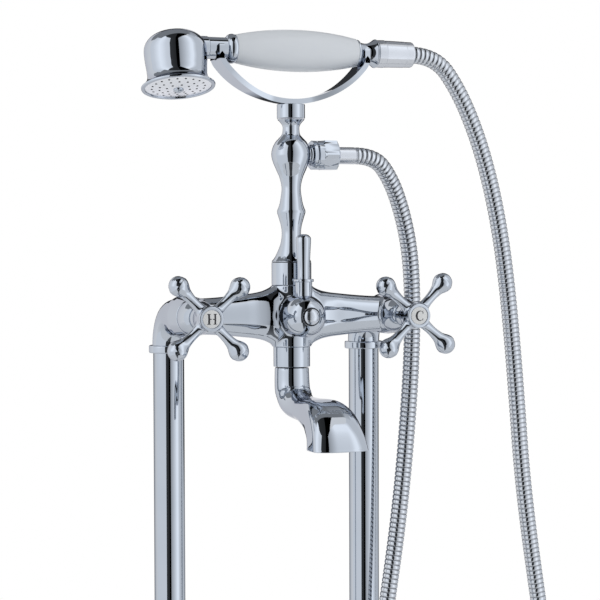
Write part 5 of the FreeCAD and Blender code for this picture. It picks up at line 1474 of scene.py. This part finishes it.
@dataclass
class Cradle:
    """Cradle for the handset: a flat bar bent to a U whose ends fork round the handset."""

    seat: float = 1017.2
    thickness: float = 3.6
    bend: float = 68.0
    corner: float = 12.0
    half_span: float = 55.5
    prong_top: float = 1056.8
    waist_half: float = 4.5
    fork_half: float = 10.8
    waist_reach: float = 14.0
    fork_reach: float = 46.0
    notch_radius: float = 7.8
    top_rounding: float = 2.0
    edge_break: float = 0.7
    collar_radius: float = 9.8
    collar_foot: float = 1007.0

    def path(self) -> list[tuple[float, float, float, float]]:
        """Follows the middle of the bar from its lowest point to the top of the right prong.

        Returns:
            Rows of x, height, and the two parts of the direction that points into the U.
        """
        half = self.thickness / 2
        centre = self.seat + self.bend
        inner = self.bend - self.corner
        corner_x = self.half_span - self.corner
        corner_z = centre - math.sqrt(inner * inner - corner_x * corner_x)
        joint = math.atan2(corner_x, centre - corner_z)
        rows = []
        low_arc = (np.linspace(0, joint, 60), 0.0, centre, self.bend - half)
        high_arc = (np.linspace(joint, math.pi / 2, 20)[1:], corner_x, corner_z, self.corner - half)
        for turns, x, z, radius in (low_arc, high_arc):
            for turn in turns.tolist():
                over, up = math.sin(turn), math.cos(turn)
                rows.append((x + radius * over, z - radius * up, -over, up))
        low = HANDSET_HEIGHT - self.notch_radius
        x = self.half_span - half
        heights = np.linspace(corner_z, low, 8)[1:].tolist()
        turns = np.linspace(0, math.pi / 2, 22)[1:]
        heights += [HANDSET_HEIGHT - self.notch_radius * math.cos(turn) for turn in turns]
        heights += np.linspace(HANDSET_HEIGHT, self.prong_top, 4)[1:].tolist()
        rows += [(x, height, -1.0, 0.0) for height in heights]
        return rows

    def half_width(self, reach: float) -> float:
        """Gives half the bar's width at a distance from the column."""
        share = min(max((reach - self.waist_reach) / (self.fork_reach - self.waist_reach), 0.0), 1.0)
        return self.waist_half + (self.fork_half - self.waist_half) * share**1.5 * (2.2 - 1.2 * share)

    def strap(self) -> bpy.types.Object:
        """Bends the bar: a sheet with the notches open upwards, thickened and with its edges broken.

        Returns:
            The bar.
        """
        right = self.path()
        rows = [(-x, z, -nx, nz) for x, z, nx, nz in reversed(right[1:])] + right
        columns = 9
        points, faces = [], []
        for way in (-1, 1):
            first = len(points)
            for x, z, _, _ in rows:
                above = z - (HANDSET_HEIGHT - self.notch_radius)
                notch = 0.0
                if above > 0 and abs(x) > self.fork_reach:
                    notch = math.sqrt(max(self.notch_radius**2 - max(HANDSET_HEIGHT - z, 0.0) ** 2, 0.0))
                top_share = max(0.0, (z - self.prong_top) / self.top_rounding + 1.0)
                edge = self.half_width(abs(x)) - (0.9 * top_share**2 if abs(x) > self.fork_reach else 0.0)
                for column in range(columns):
                    share = column / (columns - 1)
                    points.append((x, -BODY_REACH + way * (notch + (edge - notch) * share), z))
            for row in range(len(rows) - 1):
                for column in range(columns - 1):
                    low = first + row * columns + column
                    quad = (low, low + 1, low + columns + 1, low + columns)
                    faces.append(quad if way > 0 else quad[::-1])
        sheet = Shell(np.array(points), faces).piece("bar_sheet")
        weld = sheet.modifiers.new("weld", "WELD")
        weld.merge_threshold = 0.02 * MM
        thick = sheet.modifiers.new("thick", "SOLIDIFY")
        thick.thickness = self.thickness * MM
        thick.offset = 0.0
        edge = sheet.modifiers.new("edge", "BEVEL")
        edge.width = self.edge_break * MM
        edge.segments = 4
        edge.limit_method = "ANGLE"
        edge.angle_limit = math.radians(50)
        edge.harden_normals = True
        bar = settled(sheet, "cradle_bar")
        bar.data.shade_smooth()
        return bar

    def build(self, shop: Workshop) -> None:
        """Makes the cradle, its collar and its screw.

        Args:
            shop: The workshop that dresses them.
        """
        base = (0.0, -BODY_REACH, 0.0)
        foot = self.collar_foot + 0.25
        collar = Outline().to((foot, 0), (foot, self.collar_radius), soft=0.5)
        collar.to((self.seat, self.collar_radius), (self.seat, 0), soft=0.5)
        shop.turn("bar_collar", collar, base, UPWARDS, CHROME, Body.STAND, "cradle_collar")
        shop.dress(self.strap(), CHROME, Body.STAND, "cradle")
        top = self.seat + self.thickness
        head = Outline().to((top - 1.0, 0), (top - 1.0, 3.3), (top + 0.05, 3.3), soft=0.2)
        head.to((top + 0.1, 1.7), (top - 0.9, 1.6), (top - 0.9, 0), soft=0.1)
        shop.turn("bar_screw", head, base, UPWARDS, CHROME, Body.STAND, "cradle_screw", segments=48)


@dataclass
class Spout:
    """Swivel nut and the S shaped spout with its wide mouth."""

    nut_radius: float = 12.8
    nut_foot: float = 834.0
    nut_top: float = 848.0
    wall: float = 2.0
    sections: tuple[tuple[float, float, float, float, float], ...] = (
        (0.0, 36.6, 0.0, 11.9, 11.9), (0.4, 47.0, 6.0, 12.2, 12.0), (4.6, 56.0, 36.0, 12.3, 11.6),
        (12.0, 61.2, 66.0, 12.0, 10.4), (24.0, 63.4, 86.0, 11.8, 9.0), (41.0, 64.2, 88.0, 12.3, 9.0),
        (58.0, 65.4, 78.0, 13.9, 10.6), (72.0, 69.6, 55.0, 16.0, 12.2), (82.3, 77.6, 24.0, 17.8, 12.7),
        (87.0, 86.5, 0.0, 19.2, 13.5),
    )
    square_from: float = 30.0
    square_over: float = 50.0
    squareness: float = 8.0
    front_bow: float = 0.62
    front_flat: float = 0.26

    def section(self, row: np.ndarray, wall: float) -> np.ndarray:
        """Draws one section of the spout.

        Args:
            row: Forward, drop, turn, half width and half depth.
            wall: How far the section is drawn in.

        Returns:
            The section's points.
        """
        forward, drop, turn, wide, deep = row
        angles = np.arange(96) * TAU / 96
        way = math.radians(turn)
        across = np.array((1.0, 0.0, 0.0))
        over = np.array((0.0, -math.cos(way), math.sin(way)))
        centre = np.array((0.0, -BODY_REACH - forward, AXIS_HEIGHT - drop))
        share = min(max((forward - self.square_from) / self.square_over, 0.0), 1.0) ** 1.5
        power = 2 + self.squareness * share
        reach = (np.abs(np.cos(angles)) ** power + np.abs(np.sin(angles)) ** power) ** (-1 / power)
        beside = np.maximum(np.abs(reach * np.cos(angles)) - self.front_flat, 0.0)
        bow = 1 - self.front_bow * share * beside**2
        first, second = (wide - wall) * reach * np.cos(angles), (deep - wall) * reach * bow * np.sin(angles)
        return centre + first[:, None] * across - second[:, None] * over

    def spout(self) -> Shell:
        """Lofts the outside and the inside of the spout and rounds its lip.

        Returns:
            Its skin.
        """
        rows = smooth_through(self.sections, 14)
        rings = [self.section(rows[0], 6.0), self.section(rows[0], 0.7)]
        start = rows[0].copy()
        start[1] += 0.25
        rings.append(self.section(start, 0.12))
        rings += [self.section(row, 0.0) for row in rows[2:-1]]
        last = rows[-1]
        lip_outside = ((0.0, 0.5), (0.07, 0.22), (0.3, 0.04), (0.6, 0.0))
        for inset, back in (*lip_outside, (self.wall - 0.5, 0.0), (self.wall, 0.4)):
            lip = last.copy()
            lip[1] -= back
            rings.append(self.section(lip, inset))
        rings += [self.section(row, self.wall) for row in rows[-3:8:-2]]
        return Shell.lofted(np.array(rings))

    def build(self, shop: Workshop) -> None:
        """Makes the spout and the nut that holds it.

        Args:
            shop: The workshop that dresses them.
        """
        nut = Outline().to((self.nut_foot, 10.6), (self.nut_foot, self.nut_radius), soft=0.35)
        nut.to((self.nut_top, self.nut_radius), (self.nut_top, 10.6), soft=0.35)
        base = (0, -BODY_REACH, 0)
        shop.turn("spout_nut", nut, base, UPWARDS, CHROME, Body.STAND, "swivel_nut", crease=50, ring=True)
        shop.dress(self.spout().piece("swan_spout", 50), CHROME, Body.SPOUT, "spout")


@dataclass
class SprayHead:
    """Spray head: a bell with a turned rim, a perforated face and its middle screw."""

    x: float = -84.0
    tilt: float = 14.2
    rim: float = -29.6
    plate_front: float = -28.9
    plate_bulge: float = 2.2
    plate_radius: float = 20.6
    rings: tuple[tuple[float, int], ...] = ((8.0, 8), (13.0, 14), (18.0, 20))
    skirt: tuple[Pair, ...] = (
        (-27.0, 23.6), (-24.6, 21.6), (-22.2, 20.6), (-17.0, 20.6), (-10.0, 21.3), (-4.0, 21.6)
    )
    dome: tuple[Pair, ...] = ((0.2, 21.1), (3.8, 19.2), (6.9, 15.8), (9.0, 11.0), (10.1, 5.6), (10.4, 0.0))
    plate_hole: float = 1.65
    hole_radius: float = 0.62
    bead_radius: float = 0.12

    @property
    def centre(self) -> Triple:
        """Where the bell's axis crosses the handset's."""
        return (self.x, -BODY_REACH, HANDSET_HEIGHT)

    @property
    def axis(self) -> Triple:
        """The bell's axis, from its face to its dome."""
        lean = math.radians(self.tilt)
        return (0.0, math.sin(lean), math.cos(lean))

    def bell(self) -> Shell:
        """Turns the bell.

        Returns:
            Its skin.
        """
        outline = Outline().to((-27.2, 0), (-27.2, 22.7), soft=0.1).to((self.rim, 22.75), soft=0.3)
        outline.to((self.rim, 25.0), soft=0.7).to((self.rim + 1.3, 25.35), soft=0.6)
        outline.swell(*self.skirt, steps=8).swell(*self.dome, steps=9)
        return Shell.turned(outline, self.centre, self.axis, 144)

    def socket(self) -> Shell:
        """Turns the socket on the bell's side that takes the handset's neck."""
        outline = Outline().to((17.0, 0), (17.0, 7.95)).to((22.8, 7.95), soft=0.4).to((22.8, 0))
        return Shell.turned(outline, self.centre, RIGHTWARDS)

    def nozzle_tree(self) -> ShapeTree:
        """Builds the node tree that sets a ring of nozzle mouths in the face.

        Returns:
            The tree.
        """
        tree = ShapeTree("nozzle_ring", Ring_radius="Float", Count="Int", Mouth_radius="Float")
        given, circle = tree.given, "GeometryNodeCurvePrimitiveCircle"
        places = {"Vertices": given["Count"], "Radius": given["Ring radius"]}
        ring = tree.out("GeometryNodeMeshCircle", places)
        mouth = tree.out(circle, {"Resolution": 20, "Radius": given["Mouth radius"]})
        bead = tree.out(circle, {"Resolution": 8, "Radius": self.bead_radius * MM})
        rim = tree.out("GeometryNodeCurveToMesh", {"Curve": mouth, "Profile Curve": bead})
        smooth = tree.out("GeometryNodeSetShadeSmooth", {"Geometry": rim})
        tree.close(tree.out("GeometryNodeInstanceOnPoints", {"Points": ring, "Instance": smooth}))
        return tree

    def nozzles(self, shop: Workshop) -> None:
        """Sets the rings of nozzle mouths in the face.

        Args:
            shop: The workshop that dresses them.
        """
        tree = self.nozzle_tree()
        lean = Matrix.Rotation(math.radians(-self.tilt), 4, "X")
        middle = Matrix.Translation(Vector(self.centre) * MM) @ lean
        for index, (radius, count) in enumerate(self.rings):
            share = (radius - self.plate_hole) / (self.plate_radius - self.plate_hole)
            drop = self.plate_front - self.plate_bulge * (1 - share)
            carrier = Shell(np.zeros((1, 3)), []).piece("nozzle_carrier")
            tree.work_on(
                carrier,
                Ring_radius=radius * MM,
                Count=count,
                Mouth_radius=(self.hole_radius + self.bead_radius / 2) * MM,
                Finish=shop.material(RUBBER),
            )
            made = settled(carrier, f"nozzle_ring_{index + 1}")
            made.data.transform(middle @ Matrix.Translation((0, 0, drop * MM)))
            shop.dress(made, RUBBER, Body.HANDSET)

    def build(self, shop: Workshop) -> None:
        """Makes the spray head.

        Args:
            shop: The workshop that dresses it.
        """
        shell = self.bell().and_also(self.socket()).piece("spray_bell")
        shop.dress(shell, CHROME, Body.HANDSET, "spray_head")
        shop.redress(SPRAY_FACE, "spray_plate")
        self.nozzles(shop)
        seat = self.plate_front - self.plate_bulge
        dome = [(seat - 1.9, 0.0), (seat - 1.5, 1.8), (seat - 0.4, 3.5)]
        head = Outline([(along, radius, 0.0) for along, radius in smooth_through(dome, 8).tolist()])
        head.to((seat - 0.1, 3.6), soft=0.1).to((seat + 0.4, 3.6), (seat + 0.4, 0))
        screw = ("face_screw", head, self.centre, self.axis, CHROME, Body.HANDSET, "spray_screw")
        shop.turn(*screw, segments=64)


@dataclass
class HandsetGrip:
    """Handset behind its head: neck, rings, porcelain grip, tail and the hose's cone nut."""

    neck_radius: float = 7.5
    neck_start: float = -61.2
    front_ring_start: float = -47.7
    front_ring_end: float = -41.4
    grip_end: float = 48.4
    grip_end_radius: float = 9.7
    grip_radius: float = 14.6
    tail_flange: float = 63.6
    nut_end: float = 91.6

    def build(self, shop: Workshop) -> None:
        """Makes the grip's pieces.

        Args:
            shop: The workshop that dresses them.
        """
        base = (0.0, -BODY_REACH, HANDSET_HEIGHT)

        def make(name: str, outline: Outline, finish: Finish, node: str) -> None:
            """Turns one piece about the handset's axis."""
            shop.turn(name, outline, base, RIGHTWARDS, finish, Body.HANDSET, node)

        neck = Outline().to((self.neck_start, 0), (self.neck_start, self.neck_radius), soft=0.3)
        neck.to((self.front_ring_start, self.neck_radius), (self.front_ring_start, 0), soft=0.15)
        make("grip_neck", neck, CHROME, "handset_neck")
        ring = Outline().to((self.front_ring_start, 0), (self.front_ring_start, 7.5), soft=0.2)
        ring.bow((-44.5, 10.1), (self.front_ring_end, 9.7), 24).to((self.front_ring_end, 0), soft=0)
        make("grip_front_ring", ring, CHROME, "front_grip_ring")
        grip = Outline().to((self.front_ring_end, 0), (self.front_ring_end, self.grip_end_radius), soft=0.35)
        grip.bow((1.0, self.grip_radius), (self.grip_end, self.grip_end_radius), 64)
        grip.corners[-1] = (self.grip_end, self.grip_end_radius, 0.35)
        make("porcelain_handle", grip.to((self.grip_end, 0)), PORCELAIN, "porcelain_grip")
        tail = Outline().to((self.grip_end, 0), (self.grip_end, 9.3), soft=0.4).to((50.0, 9.3), soft=0.4)
        tail.to((50.8, 7.9), soft=0.15).swell((53.2, 7.15), (55.8, 6.9), (59.0, 7.7), (62.6, 9.95), steps=8)
        tail.to((62.9, 10.1), (self.tail_flange - 0.05, 10.1), (self.tail_flange - 0.05, 0), soft=0.25)
        make("grip_tail", tail, CHROME, "handset_tail")
        nut = Outline().to((self.tail_flange + 0.25, 0), (self.tail_flange + 0.25, 9.6), soft=0.5)
        nut.to((self.tail_flange + 6.2, 9.75), soft=0.2).to((self.tail_flange + 6.5, 9.5), soft=0.15)
        nut.to((self.nut_end - 6.4, 9.2), soft=0.15).to((self.nut_end - 6.1, 9.05), soft=0.1)
        nut.to((self.nut_end, 9.0), soft=2.0).to((self.nut_end, 5.9), (self.nut_end, 0), soft=0.2)
        make("hose_cone", nut, SATIN_CHROME, "hose_cone_nut")


@dataclass
class JointShadeLines:
    """Thin dark lines of painted shade at the bottom of the grooves where two stand parts meet."""

    half: float = 0.22
    depth: float = 1.2
    forward: tuple[Pair, ...] = ((38.0, 11.2), (63.0, 12.3), (78.15, 7.2))
    upward: tuple[Pair, ...] = ((848.0, 12.5), (891.0, 13.35), (907.15, 13.5))

    def band(self, place: float, radius: float, origin: Triple, axis: Triple) -> Shell:
        """Turns one line.

        Args:
            place: Where on the axis its middle is.
            radius: Its outer radius.
            origin: Where the axis has its zero.
            axis: The direction of the axis.

        Returns:
            Its skin.
        """
        low, high, inner = place - self.half, place + self.half, radius - self.depth
        outline = Outline().to((low, inner), (low, radius), (high, radius), (high, inner), soft=0)
        return Shell.turned(outline, origin, axis, ring=True)

    def build(self, shop: Workshop) -> None:
        """Makes all the lines as one piece.

        Args:
            shop: The workshop that dresses it.
        """
        bands = [self.band(*line, (0.0, -BODY_REACH, 0.0), UPWARDS) for line in self.upward]
        for x in (-RISER_X, RISER_X):
            bands += [self.band(*line, (x, 0.0, AXIS_HEIGHT), FORWARDS) for line in self.forward]
        # the rubber finish paints the shade that falls in the joint grooves; no seal is there
        shop.dress(bands[0].and_also(*bands[1:]).piece("joint_lines", 30), RUBBER, Body.STAND)


@dataclass
class PlainParts:
    """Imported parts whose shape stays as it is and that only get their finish."""

    finishes: tuple[tuple[Finish, tuple[str, ...]], ...] = (
        (CHROME, ("floor_flange_left", "floor_flange_right", "outlet_nipple")),
        (
            BRASS,
            (
                "inlet_bushes", "hot_cartridge", "cold_cartridge", "diverter_sleeve", "diverter_spool",
                "hot_spindle", "cold_spindle", "spout_retaining_ring", "grip_tube",
            ),
        ),
        (STEEL, ("flange_grub_screws", "hot_handle_screw", "cold_handle_screw", "diverter_screw")),
        (CERAMIC, ("hot_fixed_disc", "cold_fixed_disc", "hot_moving_disc", "cold_moving_disc")),
        (
            RUBBER,
            (
                "riser_sealing_rings", "seat_seals", "column_washer", "outlet_washer",
                "spout_sealing_rings", "spray_gasket", "handset_washer",
            ),
        ),
    )

    def build(self, shop: Workshop) -> None:
        """Finishes them.

        Args:
            shop: The workshop that dresses them.
        """
        for finish, names in self.finishes:
            shop.redress(finish, *names)
        log.info("%d packed parts keep their shape", sum(len(names) for _, names in self.finishes))


# ------------------------------------------------------------------------------------------------ the studio


@dataclass
class Studio:
    """Camera, pale floor, soft light and the dark cards that polished metal needs to show its form."""

    lens: float = 112.3
    azimuth: float = -20.42
    pitch: float = 1.60
    roll: float = -0.19
    aim: Triple = (5.53, -52.06, 880.5)
    distance: float = 1311.0
    floor_reach: float = 3.2
    floor_fade: Pair = (1.2, 3.0)
    floor_glow: float = 0.4
    canopy_height: float = 2.4
    glow_tint: tuple[float, ...] = (0.93, 0.96, 1.0, 1)
    screen_reach: float = 1.3
    screen: tuple[Pair, ...] = (
        (-100.0, 1.0), (-84.0, 1.05), (-72.0, 1.22), (-60.0, 1.42), (-48.0, 1.3), (-36.0, 1.1),
        (-22.0, 1.02), (-21.5, 0.06), (0.0, 0.035), (1.0, 0.0), (12.5, 0.0), (13.0, 0.5), (20.0, 0.62),
        (34.0, 0.85), (50.0, 1.15), (60.0, 1.38), (70.0, 1.42), (78.0, 1.12), (88.0, 0.88),
        (112.0, 0.88), (130.0, 1.0),
    )
    screen_rows: tuple[Triple, ...] = (
        (0.0, 0.0, 1.0), (0.72, 0.0, 1.0), (0.84, 0.5, 1.0), (0.98, 1.0, 1.0), (3.40, 1.0, 1.0),
    )

    def camera(self) -> None:
        """Sets the camera where the photographer's stood."""
        turn, lean, bank = (math.radians(angle) for angle in (self.azimuth, self.pitch, self.roll))
        across = Vector((math.cos(turn), math.sin(turn), 0.0))
        back = Vector((math.sin(turn) * math.cos(lean), -math.cos(turn) * math.cos(lean), math.sin(lean)))
        over = back.cross(across)
        right = math.cos(bank) * across + math.sin(bank) * over
        up = -math.sin(bank) * across + math.cos(bank) * over
        place = (Vector(self.aim) + back * self.distance) * MM
        data = bpy.data.cameras.new("camera")
        data.lens = self.lens
        data.sensor_width = 36.0
        camera = placed("camera", data)
        camera.matrix_world = Matrix.Translation(place) @ Matrix((right, up, back)).transposed().to_4x4()
        bpy.context.scene.camera = camera

    def world(self, light: float = 0.72) -> None:
        """Makes the surroundings: white to the eye and in the metal, softer as a light.

        Args:
            light: How strong they are as a light.
        """
        world = bpy.data.worlds.new("studio")
        world.use_nodes = True
        bpy.context.scene.world = world
        graph = Graph(world.node_tree)
        seen, through = graph.seen()
        soft = graph.out("ShaderNodeBackground", {"Color": (0.96, 0.98, 1.0, 1), "Strength": light})
        white = graph.out("ShaderNodeBackground", {"Color": (1, 1, 1, 1), "Strength": 1.0})
        mix = graph.out("ShaderNodeMixShader", {0: graph.maths("MAXIMUM", seen, through), 1: soft, 2: white})
        graph.node("ShaderNodeOutputWorld", {"Surface": mix})

    def lamp(self, name: str, place: Triple, size: Pair, power: float) -> None:
        """Hangs one soft box facing the filler.

        Args:
            name: Its name.
            place: Where it hangs, in metres.
            size: Its width and height in metres.
            power: Its power in watts.
        """
        data = bpy.data.lights.new(name, "AREA")
        data.shape = "RECTANGLE"
        data.size, data.size_y = size
        data.energy = power
        lamp = placed(name, data)
        lamp.visible_glossy = False
        lamp.location = place
        lamp.rotation_euler = (LIT_PLACE - Vector(place)).to_track_quat("-Z", "Y").to_euler()

    def card(self, name: str, rows: Sequence[Sequence[Triple]], shades: Sequence[Sequence[float]]) -> None:
        """Stands a card that only polished metal sees.

        Args:
            name: Its name.
            rows: Its points in metres, row by row, each row of the same number.
            shades: Its brightness at each point.
        """
        across = len(rows[0])
        points = [tuple(place) for row in rows for place in row]
        faces = []
        for row in range(len(rows) - 1):
            for column in range(across - 1):
                low = row * across + column
                faces.append((low, low + 1, low + across + 1, low + across))
        mesh = bpy.data.meshes.new(name)
        mesh.from_pydata(points, [], faces)
        shade = mesh.attributes.new("shade", "FLOAT", "POINT")
        shade.data.foreach_set("value", [value for row in shades for value in row])
        material, graph = bare_material(name)
        strength = graph.node("ShaderNodeAttribute", attribute_name="shade").outputs["Fac"]
        glow = graph.out("ShaderNodeEmission", {"Color": self.glow_tint, "Strength": strength})
        graph.node("ShaderNodeOutputMaterial", {"Surface": glow})
        mesh.materials.append(material)
        board = placed(name, mesh)
        board.visible_camera = False
        board.visible_diffuse = False
        board.visible_shadow = False
        board.visible_transmission = False

    def ray(self, turn: float, reach: float, height: float) -> Triple:
        """Gives a place round the filler.

        Args:
            turn: Degrees to the right of the camera's direction, seen from the filler.
            reach: Metres from the filler's axis.
            height: Metres above the floor.

        Returns:
            The place.
        """
        angle = math.radians(self.azimuth - 90.0 + turn)
        return (reach * math.cos(angle), reach * math.sin(angle) - BODY_REACH * MM, height)

    def over(self, ahead: float, side: float) -> Triple:
        """Gives a place overhead, ahead of the filler towards the camera and to the right of that line.

        Args:
            ahead: Metres towards the camera.
            side: Metres to the right of that line.

        Returns:
            The place.
        """
        angle = math.radians(self.azimuth - 90.0)
        x = ahead * math.cos(angle) - side * math.sin(angle)
        y = ahead * math.sin(angle) + side * math.cos(angle)
        return (x, y - BODY_REACH * MM, self.canopy_height)

    def floor(self) -> None:
        """Lays a pale round floor that keeps the filler's shadow and fades into the white surroundings."""
        turns = [TAU * side / 96 for side in range(96)]
        reach = self.floor_reach
        outline = [(reach * math.cos(turn), reach * math.sin(turn), 0.0) for turn in turns]
        mesh = bpy.data.meshes.new("floor")
        mesh.from_pydata(outline, [], [tuple(range(len(outline)))])
        material, graph = bare_material("pale_floor")
        place = graph.node("ShaderNodeTexCoord").outputs["Object"]
        away = graph.node("ShaderNodeVectorMath", {0: place}, operation="LENGTH").outputs["Value"]
        start, end = self.floor_fade
        fade = graph.out("ShaderNodeMapRange", {"Value": away, "From Min": start, "From Max": end})
        matt = graph.out("ShaderNodeBsdfDiffuse", {"Color": (0.86, 0.87, 0.88, 1)})
        glow = graph.out("ShaderNodeEmission", {"Strength": 1.0})
        share = graph.maths("MULTIPLY", graph.seen()[0], self.floor_glow)
        pale = graph.out("ShaderNodeMixShader", {0: share, 1: matt, 2: glow})
        clear = graph.out("ShaderNodeBsdfTransparent", {})
        edge = graph.out("ShaderNodeMixShader", {0: fade, 1: pale, 2: clear})
        graph.node("ShaderNodeOutputMaterial", {"Surface": edge})
        mesh.materials.append(material)
        placed("floor", mesh)

    def lights(self) -> None:
        """Hangs the soft boxes and stands the cards."""
        self.lamp("left_box", self.ray(-62, 1.7, 1.35), (0.7, 1.2), 5.0)
        self.lamp("right_box", self.ray(74, 1.6, 1.1), (0.24, 1.5), 2.6)
        self.lamp("back_box", self.ray(160, 1.9, 1.7), (0.8, 0.8), 4.0)
        self.surround()
        self.card(
            "floor_strip",
            [[self.ray(turn, reach, 0.002) for turn in (-16.0, 12.0)] for reach in (1.3, 0.7, 0.15)],
            [[0.05, 0.03], [0.12, 0.1], [0.3, 0.25]],
        )
        canopy = ((1.30, -0.50, 0.30), (0.75, -0.75, 0.44), (0.0, -0.75, 0.55), (-0.42, -0.6, 0.55))
        self.card(
            "canopy",
            [[self.over(ahead, side) for side in (left, 0.0, 0.02, right)] for ahead, left, right in canopy],
            [[0.05, 0.035, 0.0, 0.0]] * 4,
        )
        self.card(
            "ceiling",
            [[(x, y, 2.38) for x in (-1.6, 0.62, 0.8, 1.6)] for y in (-0.04, 0.9, 1.8)],
            [[0.3, 0.3, 0.75, 0.8], [0.33, 0.33, 0.5, 0.55], [0.33, 0.33, 0.1, 0.05]],
        )
        for word, start, end in (("right", 140, 176), ("left", -178, -158)):
            self.card(
                f"edge_card_{word}",
                [[self.ray(turn, 1.5, height) for turn in (start, end)] for height in (0.54, 0.62, 2.2)],
                [[0.9, 0.9], [0.06, 0.06], [0.06, 0.06]],
            )

    def surround(self) -> None:
        """Stands the curved screen round the camera that the metal mirrors: bright sides and a dark gap."""
        knots = np.array(self.screen, float)
        turns = sorted({*knots[:, 0].tolist(), *np.arange(-100.0, 131.0, 3.0).tolist()})
        rows, shades = [], []
        for height, side_share, dark_share in self.screen_rows:
            rows.append([self.ray(turn, self.screen_reach, height) for turn in turns])
            shade = np.interp(turns, knots[:, 0], knots[:, 1])
            row = []
            for turn, value in zip(turns, shade.tolist()):
                share = side_share if turn < -22 else dark_share if value < 0.45 else 1.0
                row.append(1.0 + (value - 1.0) * share)
            shades.append(row)
        self.card("surround", rows, shades)

    def build(self) -> None:
        """Sets up the studio."""
        self.world()
        self.floor()
        self.lights()
        bpy.context.scene.view_settings.view_transform = "Standard"


def main() -> None:
    """Builds the filler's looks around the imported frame."""
    logging.basicConfig(level=logging.INFO, format="%(name)s: %(message)s")
    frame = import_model()
    studio = Studio()
    studio.camera()
    shop = Workshop(frame)
    ShowerHose().build(shop)
    for part in (
        FloorPipes(),
        BridgeBody(),
        CrossHandle("hot", -RISER_X, Body.HOT_VALVE, Mark.HOT, -1.4),
        CrossHandle("cold", RISER_X, Body.COLD_VALVE, Mark.COLD, 2.8),
        Diverter(),
        Column(),
        HoseOutlet(),
        Cradle(),
        Spout(),
        SprayHead(),
        HandsetGrip(),
        JointShadeLines(),
        PlainParts(),
    ):
        part.build(shop)
    studio.build()


if __name__ == "__main__":
    main()
